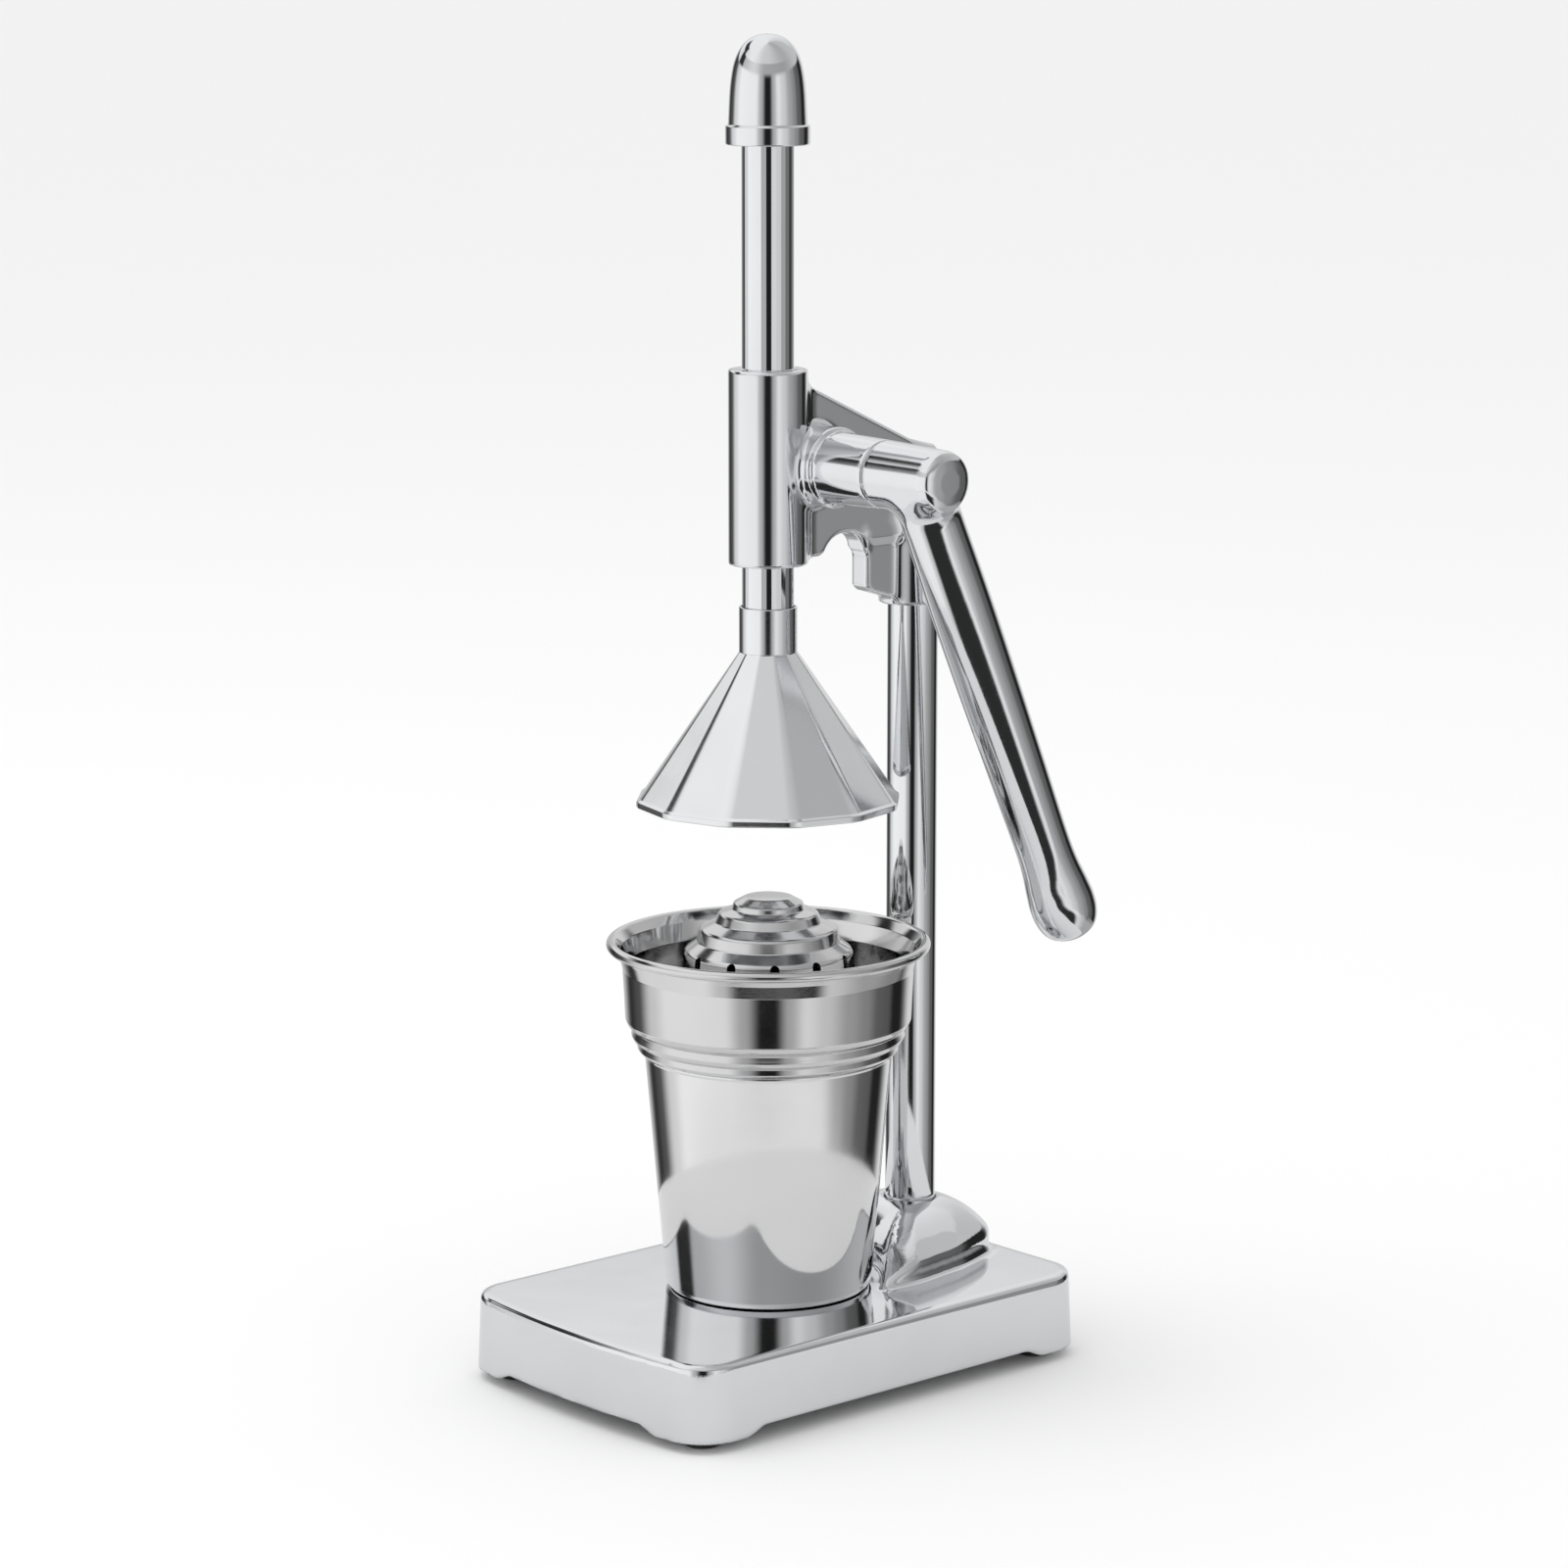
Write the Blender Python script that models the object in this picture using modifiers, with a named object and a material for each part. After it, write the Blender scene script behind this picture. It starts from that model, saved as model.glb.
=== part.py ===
"""Hand-lever citrus press: rack-and-pinion ram over a cup with a strainer bowl.

Metres, +Z up, the table at Z = 0. The user stands at -Y, the column is at +Y and the
lever is at +X. Pieces are laid out from the ram's axis, then moved together so that
the origin is under the middle of the press.
"""
import bmesh
import bpy
from math import asin, cos, pi, radians, sin, sqrt, tan
from mathutils import Matrix, Vector

MM = 0.001

# Driving dimensions, in millimetres.
GAP = 0.3                    # clearance left between separate pieces
LEG_LOW = 1.3                # lower edge of the base at its four corners
SKIRT_LOW = 3.7              # lower edge of the skirt between the corners
BASE_TOP = 27.4
BASE_HALF_WIDTH = 58.0       # at the lower edge
BASE_DRAFT = 1.2             # how much the walls lean in by the top
BASE_FRONT = -79.0
BASE_REAR = 86.0
BASE_BOW = 3.0               # outward bow of the front edge
BASE_CORNER = 15.0
COLUMN_Y = 60.8
COLUMN_R = 8.0
MOUND_TOP = 45.0
RAM_R = 8.0
SLEEVE_R = 12.2
SLEEVE_LOW = 256.0
SLEEVE_HIGH = 316.0
BORE_R = 8.3
SHAFT_Y = 14.5               # lever shaft's axis
SHAFT_Z = 285.9
MODULE = 1.75
TEETH = 12
PITCH_R = MODULE * TEETH / 2
RACK_PITCH = pi * MODULE
RACK_LINE = SHAFT_Y - PITCH_R
COLLAR_TOP = 243.0
CONE_TOP = 228.8
CONE_LOW = 181.3
CONE_R = 41.6
CONE_SIDES = 12
CAP_LOW = 383.8
CAP_TOP = 417.0
LEVER_X = 51.5
LEVER_TILT = 24.4            # degrees back from hanging straight down
LEVER_LENGTH = 164.0
GRUB_X = 44.0                # the screw that pins the lever's hub
SEAM_X = 37.2                # joint between the fixed barrel and the lever's hub
HUB_END = 66.0
RIM_TOP = 138.6
RIM_R = 50.6
CUP_TOP = 103.0
CUP_R_TOP = 38.6
CUP_R_LOW = 32.4
STRAINER_SLOTS = 12

# The row's origin is under the middle of the whole press, from the base's left edge to
# the hub's end, and from the bowed front edge to the lever's knob.
KNOB_REAR = 88.76
CENTRE_X = (HUB_END - BASE_HALF_WIDTH) / 2
CENTRE_Y = (KNOB_REAR + BASE_FRONT - BASE_BOW) / 2

CHROME = (0.78, 0.79, 0.80, 1.0)
STEEL = (0.66, 0.66, 0.67, 1.0)
ALUMINIUM = (0.76, 0.77, 0.78, 1.0)
RUBBER = (0.02, 0.02, 0.02, 1.0)

for old in list(bpy.data.objects):
    bpy.data.objects.remove(old, do_unlink=True)

press = bpy.data.collections.new("hand_citrus_press")
tools = bpy.data.collections.new("cutters")
bpy.context.scene.collection.children.link(press)
bpy.context.scene.collection.children.link(tools)


def material(name, colour, roughness, metallic):
    made = bpy.data.materials.new(name)
    made.use_nodes = True
    shader = made.node_tree.nodes["Principled BSDF"]
    shader.inputs["Base Color"].default_value = colour
    shader.inputs["Roughness"].default_value = roughness
    shader.inputs["Metallic"].default_value = metallic
    return made


def place(name, mesh, helper=False, at=(0, 0, 0), turn=None):
    """Links a mesh as an object, given a spot in millimetres and a rotation matrix."""
    made = bpy.data.objects.new(name, mesh)
    (tools if helper else press).objects.link(made)
    matrix = Matrix.Translation(Vector(at) * MM)
    if turn is not None:
        matrix = matrix @ turn.to_4x4()
    made.matrix_world = matrix
    if helper:
        made.hide_render = True
        made.display_type = "WIRE"
    return made


def turned(name, profile, steps=48, helper=False, at=(0, 0, 0), turn=None, closed=False):
    """A profile of (radius, height) points, outer side top to bottom, spun about Z."""
    mesh = bpy.data.meshes.new(name)
    count = len(profile)
    edges = [(i, i + 1) for i in range(count - 1)]
    if closed:
        edges.append((count - 1, 0))
    mesh.from_pydata([(r * MM, 0, z * MM) for r, z in profile], edges, [])
    made = place(name, mesh, helper, at, turn)
    screw = made.modifiers.new("turn", "SCREW")
    screw.axis = "Z"
    screw.angle = 2 * pi
    screw.steps = steps
    screw.render_steps = steps
    screw.use_merge_vertices = True
    screw.merge_threshold = 0.00001
    screw.use_smooth_shade = True
    return made


def rod(name, radius, low, high, steps=32, helper=True, at=(0, 0, 0), turn=None, chamfer=0.0):
    """A plain or chamfered cylinder along its own Z."""
    if chamfer:
        profile = [(0, high), (radius - chamfer, high), (radius, high - chamfer),
                   (radius, low + chamfer), (radius - chamfer, low), (0, low)]
    else:
        profile = [(0, high), (radius, high), (radius, low), (0, low)]
    return turned(name, profile, steps, helper, at, turn)


def prism(name, outline, low, high, helper=True, at=(0, 0, 0), turn=None, top=None):
    """An outline of (x, y) points raised from low to high; top gives another outline there."""
    shape = bmesh.new()
    lower = [shape.verts.new((x * MM, y * MM, low * MM)) for x, y in outline]
    upper = [shape.verts.new((x * MM, y * MM, high * MM)) for x, y in (top or outline)]
    count = len(outline)
    shape.faces.new(list(reversed(lower)))
    shape.faces.new(upper)
    for i in range(count):
        j = (i + 1) % count
        shape.faces.new((lower[i], lower[j], upper[j], upper[i]))
    bmesh.ops.recalc_face_normals(shape, faces=shape.faces)
    mesh = bpy.data.meshes.new(name)
    shape.to_mesh(mesh)
    shape.free()
    return place(name, mesh, helper, at, turn)


def lofted(name, rings, helper=False):
    """Closed rings of equal length, skinned in order and capped at both ends."""
    shape = bmesh.new()
    rows = [[shape.verts.new(Vector(p) * MM) for p in ring] for ring in rings]
    count = len(rings[0])
    for lower, upper in zip(rows, rows[1:]):
        for i in range(count):
            j = (i + 1) % count
            shape.faces.new((lower[i], lower[j], upper[j], upper[i]))
    shape.faces.new(list(reversed(rows[0])))
    shape.faces.new(rows[-1])
    bmesh.ops.recalc_face_normals(shape, faces=shape.faces)
    mesh = bpy.data.meshes.new(name)
    shape.to_mesh(mesh)
    shape.free()
    return place(name, mesh, helper)


def boolean(target, operand, operation):
    cut = target.modifiers.new(operation.lower() + "_" + operand.name, "BOOLEAN")
    cut.operation = operation
    cut.solver = "EXACT"
    cut.object = operand


def cut(target, operand):
    boolean(target, operand, "DIFFERENCE")


def join(target, operand):
    boolean(target, operand, "UNION")


def settle(made, smooth_degrees=32):
    """Applies the modifiers, shades the result and moves the mesh's origin to the object."""
    bpy.context.view_layer.update()
    graph = bpy.context.evaluated_depsgraph_get()
    mesh = bpy.data.meshes.new_from_object(made.evaluated_get(graph))
    made.modifiers.clear()
    made.data = mesh
    mesh.shade_smooth()
    mesh.set_sharp_from_angle(angle=radians(smooth_degrees))
    return made


def paint(made, look):
    made.data.materials.clear()
    made.data.materials.append(look)


def origin_to(made, point):
    """Puts the object's origin at a point in millimetres without moving its shape."""
    target = Matrix.Translation(Vector(point) * MM)
    made.data.transform(target.inverted() @ made.matrix_world)
    made.matrix_world = target


TO_X = Matrix.Rotation(radians(90), 3, "Y")       # own Z along +X
TO_Y = Matrix.Rotation(radians(-90), 3, "X")      # own Z along +Y
PLATE_X = Matrix(((0, 0, 1), (1, 0, 0), (0, 1, 0)))   # own X, Y, Z along Y, Z, X


def arc(cx, cy, radius, start, end, count):
    """Points on an arc, angles in degrees."""
    for i in range(count + 1):
        angle = radians(start + (end - start) * i / count)
        yield cx + radius * cos(angle), cy + radius * sin(angle)


# Base: one casting, a rounded plate with a skirt all round and a hollow underside.
def base_outline(inset, corner_steps=6):
    """Rounded rectangle with a bowed front edge, moved inwards by inset."""
    half = BASE_HALF_WIDTH - inset
    front = BASE_FRONT + inset
    rear = BASE_REAR - inset
    radius = max(BASE_CORNER - inset, 3.0)
    points = list(arc(half - radius, rear - radius, radius, 0, 90, corner_steps))
    points += list(arc(-half + radius, rear - radius, radius, 90, 180, corner_steps))
    points += list(arc(-half + radius, front + radius, radius, 180, 270, corner_steps))
    reach = half - radius
    for i in range(1, 8):
        x = -reach + 2 * reach * i / 8
        points.append((x, front - BASE_BOW * (1 - (x / reach) ** 2)))
    points += list(arc(half - radius, front + radius, radius, 270, 360, corner_steps))
    return points


EDGE = 1.6                   # rounding of the base's upper edge
WALL = 4.0
base_rings = [[(x, y, LEG_LOW) for x, y in base_outline(0.0)]]
for step in range(5):
    angle = radians(90 * step / 4)
    inset = BASE_DRAFT + EDGE * (1 - cos(angle))
    height = BASE_TOP - EDGE + EDGE * sin(angle)
    base_rings.append([(x, y, height) for x, y in base_outline(inset)])
base = lofted("base", base_rings)

# The hood round the column's foot: low side walls, a domed top, and a front
# scooped out round the cup so that the cup is centred under the ram.
SCOOP_R = 36.0
HOOD_WALL = 6.8
HOOD_HALF = 32.2
HOOD_REAR = 83.0


def hood_half_width(y):
    """Half-width of the hood along its length: widest beside the cup, narrower behind."""
    t = (y - 30.0) / (HOOD_REAR - 30.0)
    return HOOD_HALF - 10.0 * max(t, 0.0) ** 1.25


def hood_outline():
    """Closed outline: the scooped front from right to left, then round the back."""
    tip_angle = asin(31.0 / (SCOOP_R + 2.0))
    front = []
    front_steps = 12
    for i in range(front_steps + 1):
        angle = tip_angle - 2 * tip_angle * i / front_steps
        radius = SCOOP_R + 2.0 * (abs(angle) / tip_angle) ** 4
        front.append((radius * sin(angle), radius * cos(angle)))
    x_tip, y_tip = front[0]
    side_steps = 6
    y_end = HOOD_REAR - 14.0
    right = []
    for i in range(1, side_steps + 1):
        y = y_tip + (y_end - y_tip) * i / side_steps
        ease = min((y - y_tip) / 6.0, 1.0)
        right.append((x_tip + (hood_half_width(y) - x_tip) * sqrt(ease), y))
    x_end = right[-1][0]
    for i in range(1, 6):
        angle = radians(90 * i / 6)
        right.append((x_end * cos(angle) ** 0.75, y_end + (HOOD_REAR - y_end) * sin(angle)))
    left = [(-x, y) for x, y in right]
    return front + left + [(0.0, HOOD_REAR)] + list(reversed(right))


def hood_rings():
    outline = hood_outline()
    centre = (0.0, COLUMN_Y)
    rings = [[(x, y, BASE_TOP - 3.0) for x, y in outline]]
    wall = []
    for x, y in outline:
        near_tip = min(max((y - 22.0) / 14.0, 0.0), 1.0)
        wall.append(BASE_TOP + 1.6 + (HOOD_WALL - 1.6) * near_tip)
    rings.append([(x * 0.985, COLUMN_Y + (y - COLUMN_Y) * 0.99, z)
                  for (x, y), z in zip(outline, wall)])
    for scale in (0.92, 0.8, 0.62, 0.42, 0.26):
        rise = 1 - ((scale - 0.2) / 0.8) ** 2.2
        ring = []
        for (x, y), z in zip(outline, wall):
            ring.append((centre[0] + (x - centre[0]) * scale,
                         centre[1] + (y - centre[1]) * scale,
                         z + (MOUND_TOP - z) * rise))
        rings.append(ring)
    return rings


hood = lofted("hood_form", hood_rings(), helper=True)
join(base, hood)

ROOF = 5.0                   # thickness of the base's upper wall
cavity = prism("base_cavity", base_outline(WALL + BASE_DRAFT), LEG_LOW - 5.0, BASE_TOP - ROOF)
cut(base, cavity)
hood_cavity_profile = [(0, 36.0), (12.0, 34.0), (19.0, 28.0), (21.0, 15.0), (0, 15.0)]
hood_cavity = turned("hood_cavity", hood_cavity_profile, 32, True, (0, COLUMN_Y, 0))
cut(base, hood_cavity)
COLUMN_SEAT = 20.0
boss = rod("column_boss", 12.5, 14.0, 38.0, 36, at=(0, COLUMN_Y, 0))
join(base, boss)
column_bore = rod("column_bore", BORE_R, COLUMN_SEAT, 60.0, 48, at=(0, COLUMN_Y, 0))
cut(base, column_bore)
stud_bore = rod("stud_bore", 5.3, 5.0, 25.0, 30, at=(0, COLUMN_Y, 0))
cut(base, stud_bore)
FOOT_X = 45.0
FOOT_FRONT = -66.0
FOOT_REAR = 73.0
FOOT_TOP = 3.5
FOOT_SPOTS = {"front_right": (FOOT_X, FOOT_FRONT), "front_left": (-FOOT_X, FOOT_FRONT),
              "rear_right": (FOOT_X, FOOT_REAR), "rear_left": (-FOOT_X, FOOT_REAR)}
for spot, (x, y) in FOOT_SPOTS.items():
    pad = rod("pad_" + spot, 7.5, FOOT_TOP + GAP, BASE_TOP - 3.0, 24, at=(x, y, 0))
    join(base, pad)
for spot, (x, y) in FOOT_SPOTS.items():
    pilot = rod("pilot_" + spot, 1.9, 0.0, 15.0, 16, at=(x, y, 0))
    cut(base, pilot)


def arch_outline(low_end, high_end):
    """The lift of the skirt's lower edge between two corner legs, with eased ends."""
    run = 9.0
    rise = SKIRT_LOW - LEG_LOW
    points = [(low_end, LEG_LOW - 3.0), (high_end, LEG_LOW - 3.0)]
    for end, inward in ((high_end, -1), (low_end, 1)):
        curve = [(end + inward * run * i / 4, LEG_LOW + rise * (1 - cos(pi * i / 4)) / 2)
                 for i in range(5)]
        points += curve if inward < 0 else list(reversed(curve))
    return points


LEG_X = 39.0                 # where the front and rear arches end
LEG_FRONT = -59.5
LEG_REAR = 66.0
SIDE_IN = BASE_HALF_WIDTH - WALL - BASE_DRAFT
ALONG_Y = Matrix(((1, 0, 0), (0, 0, -1), (0, 1, 0)))
front_back_arch = arch_outline(-LEG_X, LEG_X)
for name, low, high in (("front_arch", 73.0, 90.0), ("rear_arch", -95.0, -(BASE_REAR - 6.0))):
    cut(base, prism(name, front_back_arch, low, high, turn=ALONG_Y))
side_arch = arch_outline(LEG_FRONT, LEG_REAR)
for name, low, high in (("right_arch", SIDE_IN - 1.0, 70.0), ("left_arch", -70.0, 1.0 - SIDE_IN)):
    cut(base, prism(name, side_arch, low, high, turn=PLATE_X))
settle(base)

# Rubber feet, each held by a screw whose head sits up inside the foot.
for spot, (x, y) in FOOT_SPOTS.items():
    foot_profile = [(6.4, FOOT_TOP), (5.9, 0.6), (5.3, 0.0), (3.6, 0.0),
                    (3.6, 1.9), (1.95, 1.9), (1.95, FOOT_TOP)]
    turned("foot_" + spot, foot_profile, 20, at=(x, y, 0), closed=True)
    screw_profile = [(0, 13.0), (1.1, 13.0), (1.6, 12.2), (1.6, 1.6), (3.2, 1.6),
                     (3.2, 0.9), (2.4, 0.4), (0, 0.4)]
    turned("foot_screw_" + spot, screw_profile, 12, at=(x, y, 0))

# Column: chromed bar with a shouldered stud below, drawn down by a washer and nut.
COLUMN_TOP = 280.0
turned("column", [(0, COLUMN_TOP), (COLUMN_R - 0.8, COLUMN_TOP), (COLUMN_R, COLUMN_TOP - 0.8),
                  (COLUMN_R, COLUMN_SEAT + GAP), (5.0, COLUMN_SEAT + GAP), (5.0, 5.0),
                  (4.4, 4.4), (0, 4.4)], 32, at=(0, COLUMN_Y, 0))
turned("column_washer", [(10.0, 13.7), (10.0, 12.1), (5.3, 12.1), (5.3, 13.7)], 24,
       at=(0, COLUMN_Y, 0), closed=True)
hexagon = [(9.6 * cos(radians(60 * i)), 9.6 * sin(radians(60 * i))) for i in range(6)]
nut = prism("column_nut", hexagon, 5.2, 11.8, helper=False, at=(0, COLUMN_Y, 0))
nut_hole = rod("nut_hole", 5.3, 0.0, 20.0, 20, at=(0, COLUMN_Y, 0))
cut(nut, nut_hole)
settle(nut)

# Head: one casting that joins the ram's sleeve, the shaft's barrel and the column's socket.
WEB_HALF = 4.3
FIN_HALF = 3.7
SOCKET_R = 10.9
SOCKET_LOW = 238.5
ARCH_Y = 28.5
ARCH_Z = 254.0
ARCH_R = 9.4
head = turned("head_casting", [(0, SLEEVE_HIGH), (SLEEVE_R - 0.9, SLEEVE_HIGH),
                               (SLEEVE_R, SLEEVE_HIGH - 0.9), (SLEEVE_R, SLEEVE_LOW + 0.9),
                               (SLEEVE_R - 0.9, SLEEVE_LOW), (0, SLEEVE_LOW)], 44)
SOCKET_BACK = COLUMN_Y + SOCKET_R - 2.4
web_outline = [(4.0, 257.0), (ARCH_Y - ARCH_R - 1.0, 257.0), (ARCH_Y - ARCH_R, 258.0)]
web_outline += list(arc(ARCH_Y, ARCH_Z, ARCH_R, 155, 25, 8))
web_outline += [(ARCH_Y + ARCH_R, 260.5), (SOCKET_BACK, 260.5), (SOCKET_BACK, 284.0),
                (SOCKET_BACK - 3.0, 288.0), (56.0, 290.8), (10.0, 312.0), (4.0, 312.0)]
web = prism("web_form", web_outline, -WEB_HALF, WEB_HALF, turn=PLATE_X)
join(head, web)
FIN_LOW = 244.0
fin_outline = [(ARCH_Y + ARCH_R, 263.0), (ARCH_Y + ARCH_R, FIN_LOW + 1.5),
               (ARCH_Y + ARCH_R + 1.6, FIN_LOW), (COLUMN_Y - 9.0, 240.2),
               (COLUMN_Y, 240.2), (COLUMN_Y, 263.0)]
fin = prism("fin_form", fin_outline, -FIN_HALF, FIN_HALF, turn=PLATE_X)
join(head, fin)
socket = turned("socket_form", [(0, 286.6), (5.0, 286.0), (SOCKET_R - 2.0, 283.4),
                                (SOCKET_R, 280.0), (SOCKET_R, SOCKET_LOW + 0.8),
                                (SOCKET_R - 0.8, SOCKET_LOW), (0, SOCKET_LOW)], 34, True,
                (0, COLUMN_Y, 0))
join(head, socket)
shaft_line = (0, SHAFT_Y, SHAFT_Z)
BOSS_END = 16.3
barrel = turned("barrel_form", [(0, SEAM_X), (9.9, SEAM_X), (10.5, SEAM_X - 0.6),
                                (11.2, BOSS_END), (12.0, BOSS_END), (12.5, BOSS_END - 0.7),
                                (12.5, 0.0), (0, 0.0)], 40, True, shaft_line, TO_X)
join(head, barrel)
HOUSING_R = 15.2
HOUSING_END = -13.0
housing = turned("housing_form", [(0, 1.0), (HOUSING_R, 1.0), (HOUSING_R, HOUSING_END + 1.0),
                                  (HOUSING_R - 1.0, HOUSING_END), (0, HOUSING_END)], 36, True,
                 shaft_line, TO_X)
join(head, housing)
ram_bore = rod("ram_bore", BORE_R, SLEEVE_LOW - 5.0, SLEEVE_HIGH + 5.0, 38)
cut(head, ram_bore)
CAVITY_R = 12.75
pinion_cavity = rod("pinion_cavity", CAVITY_R, HOUSING_END - 2.0, 4.1, 34, at=shaft_line, turn=TO_X)
cut(head, pinion_cavity)
SHAFT_R = 7.0
shaft_bore = rod("shaft_bore", SHAFT_R + GAP, 1.0, SEAM_X + 3.0, 30, at=shaft_line, turn=TO_X)
cut(head, shaft_bore)
socket_bore = rod("socket_bore", BORE_R, SOCKET_LOW - 5.0, COLUMN_TOP + GAP, 32,
                  at=(0, COLUMN_Y, 0))
cut(head, socket_bore)
SET_Z = 252.0
set_hole = rod("set_screw_hole", 2.6, 3.0, 20.0, 20, at=(0, COLUMN_Y, SET_Z), turn=TO_Y)
cut(head, set_hole)
settle(head)

# Set screw that clamps the column from behind, with a hexagon socket in its end.
set_screw = rod("column_set_screw", 2.3, COLUMN_R + GAP, SOCKET_R + 0.6, 20, helper=False,
                at=(0, COLUMN_Y, SET_Z), turn=TO_Y, chamfer=0.3)
key = [(1.25 * cos(radians(60 * i)), 1.25 * sin(radians(60 * i))) for i in range(6)]
set_key = prism("set_screw_key", key, SOCKET_R - 0.9, SOCKET_R + 3.0,
                at=(0, COLUMN_Y, SET_Z), turn=TO_Y)
cut(set_screw, set_key)
settle(set_screw)

# Plug that closes the pinion's housing on the far side and carries the shaft's end.
PLUG_IN = -4.2
plug = turned("housing_plug", [(CAVITY_R - GAP, PLUG_IN), (CAVITY_R - GAP, HOUSING_END + 0.6),
                               (CAVITY_R - 0.9, HOUSING_END), (5.3, HOUSING_END),
                               (5.3, PLUG_IN)], 28, at=shaft_line, turn=TO_X, closed=True)
plug_relief = rod("plug_relief", BORE_R, SLEEVE_LOW, SLEEVE_HIGH, 42)
cut(plug, plug_relief)
settle(plug)

# Shaft and pinion in one piece: a journal, twelve teeth, the barrel's run and the hub's seat.
PINION_HALF = 3.6
SEAT_R = 6.0
SHAFT_END = 61.0
shaft = turned("pinion_shaft", [(0, SHAFT_END), (SEAT_R - 0.5, SHAFT_END),
                                (SEAT_R, SHAFT_END - 0.5), (SEAT_R, SEAM_X + 0.2),
                                (SHAFT_R, SEAM_X + 0.2), (SHAFT_R, 3.0), (5.0, 3.0),
                                (5.0, HOUSING_END + 0.4), (4.6, HOUSING_END), (0, HOUSING_END)],
               28, at=shaft_line, turn=TO_X)


PRESSURE = radians(20)
SPACE_AT_CREST = RACK_PITCH / 4 + MODULE * tan(PRESSURE)
SPACE_AT_FLOOR = RACK_PITCH / 4 - 1.25 * MODULE * tan(PRESSURE)


def rack_face(along):
    """Distance from the shaft's axis to a sharp rack's surface, from a tooth space's middle."""
    crest = PITCH_R - MODULE
    floor = PITCH_R + 1.25 * MODULE
    offset = abs((along + RACK_PITCH / 2) % RACK_PITCH - RACK_PITCH / 2)
    share = (SPACE_AT_CREST - offset) / (SPACE_AT_CREST - SPACE_AT_FLOOR)
    return crest + (floor - crest) * min(max(share, 0.0), 1.0)


def rolls_clear(radius, angle):
    """Whether a point of the pinion stays out of the rack as the pinion rolls along it."""
    for i in range(-80, 81):
        roll = radians(i)
        out = radius * cos(angle + roll)
        along = radius * sin(angle + roll) - PITCH_R * roll
        if out > rack_face(along):
            return False
    return True


def gear_outline():
    """Pinion teeth generated by rolling against the rack, one tooth towards own -X."""
    tip = PITCH_R + 0.93 * MODULE
    root = PITCH_R - 1.2 * MODULE
    samples = 12
    tooth = []
    for i in range(samples):
        angle = 2 * pi / TEETH * (i / samples - 0.5)
        radius = tip
        while radius > root and not rolls_clear(radius, angle):
            radius -= 0.05
        tooth.append((max(radius, root), angle))
    points = []
    for i in range(TEETH):
        for radius, angle in tooth:
            turn = pi + 2 * pi * i / TEETH + angle
            points.append((radius * cos(turn), radius * sin(turn)))
    return points


pinion = prism("pinion_form", gear_outline(), -PINION_HALF, PINION_HALF, at=shaft_line,
               turn=PLATE_X)
join(shaft, pinion)
end_tap = rod("shaft_end_tap", 2.7, HOUSING_END - 1.0, HOUSING_END + 11.0, 16, at=shaft_line,
              turn=TO_X)
cut(shaft, end_tap)
settle(shaft)

# Washer and screw that keep the shaft from drawing out.
WASHER_OUT = HOUSING_END - 1.9
turned("shaft_washer", [(9.0, HOUSING_END - GAP), (9.0, WASHER_OUT), (2.8, WASHER_OUT),
                        (2.8, HOUSING_END - GAP)], 24, at=shaft_line, turn=TO_X, closed=True)
HEAD_IN = WASHER_OUT - GAP
end_screw = turned("shaft_end_screw", [(0, HOUSING_END + 9.0), (2.4, HOUSING_END + 9.0),
                                       (2.4, HEAD_IN), (4.9, HEAD_IN), (4.9, HEAD_IN - 2.6),
                                       (3.8, HEAD_IN - 3.6), (0, HEAD_IN - 4.0)], 20,
                   at=shaft_line, turn=TO_X)
slot_box = [(-0.6, -8.0), (0.6, -8.0), (0.6, 8.0), (-0.6, 8.0)]
screw_slot = prism("screw_slot", slot_box, HEAD_IN - 6.0, HEAD_IN - 2.2, at=shaft_line,
                   turn=TO_X)
cut(end_screw, screw_slot)
settle(end_screw)

# Lever: hub and arm in one casting, the arm ending in a rounded knob.
lever = turned("lever", [(0, HUB_END), (4.0, HUB_END - 0.2), (7.0, HUB_END - 0.7),
                         (8.7, HUB_END - 1.3), (9.4, HUB_END - 2.2), (9.6, HUB_END - 4.0),
                         (10.5, SEAM_X + 0.9), (9.9, SEAM_X + 0.35), (0, SEAM_X + 0.35)], 36,
               at=shaft_line, turn=TO_X)
ARM_PROFILE = [(0.0, 0.0), (9.4, 0.0), (9.4, 20.0), (9.7, 45.0), (9.5, 75.0), (9.1, 105.0),
               (8.75, 128.0), (9.0, 138.0), (9.9, 146.0), (10.4, 151.5), (10.1, 156.5),
               (8.6, 160.8), (5.6, 163.3), (2.8, LEVER_LENGTH - 0.1), (0.0, LEVER_LENGTH)]
arm_turn = Matrix.Rotation(radians(180 + LEVER_TILT), 3, "X")
arm = turned("arm_form", list(reversed(ARM_PROFILE)), 28, True,
             (LEVER_X, SHAFT_Y, SHAFT_Z), arm_turn)
join(lever, arm)
hub_bore = rod("hub_bore", SEAT_R + GAP, SEAM_X - 5.0, SHAFT_END + 0.5, 24, at=shaft_line,
               turn=TO_X)
cut(lever, hub_bore)
from_behind = Matrix.Rotation(radians(LEVER_TILT - 90), 3, "X")
grub_hole = rod("grub_hole", 2.3, 4.0, 14.0, 14, at=(GRUB_X, SHAFT_Y, SHAFT_Z), turn=from_behind)
cut(lever, grub_hole)
settle(lever)
origin_to(lever, shaft_line)

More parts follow.
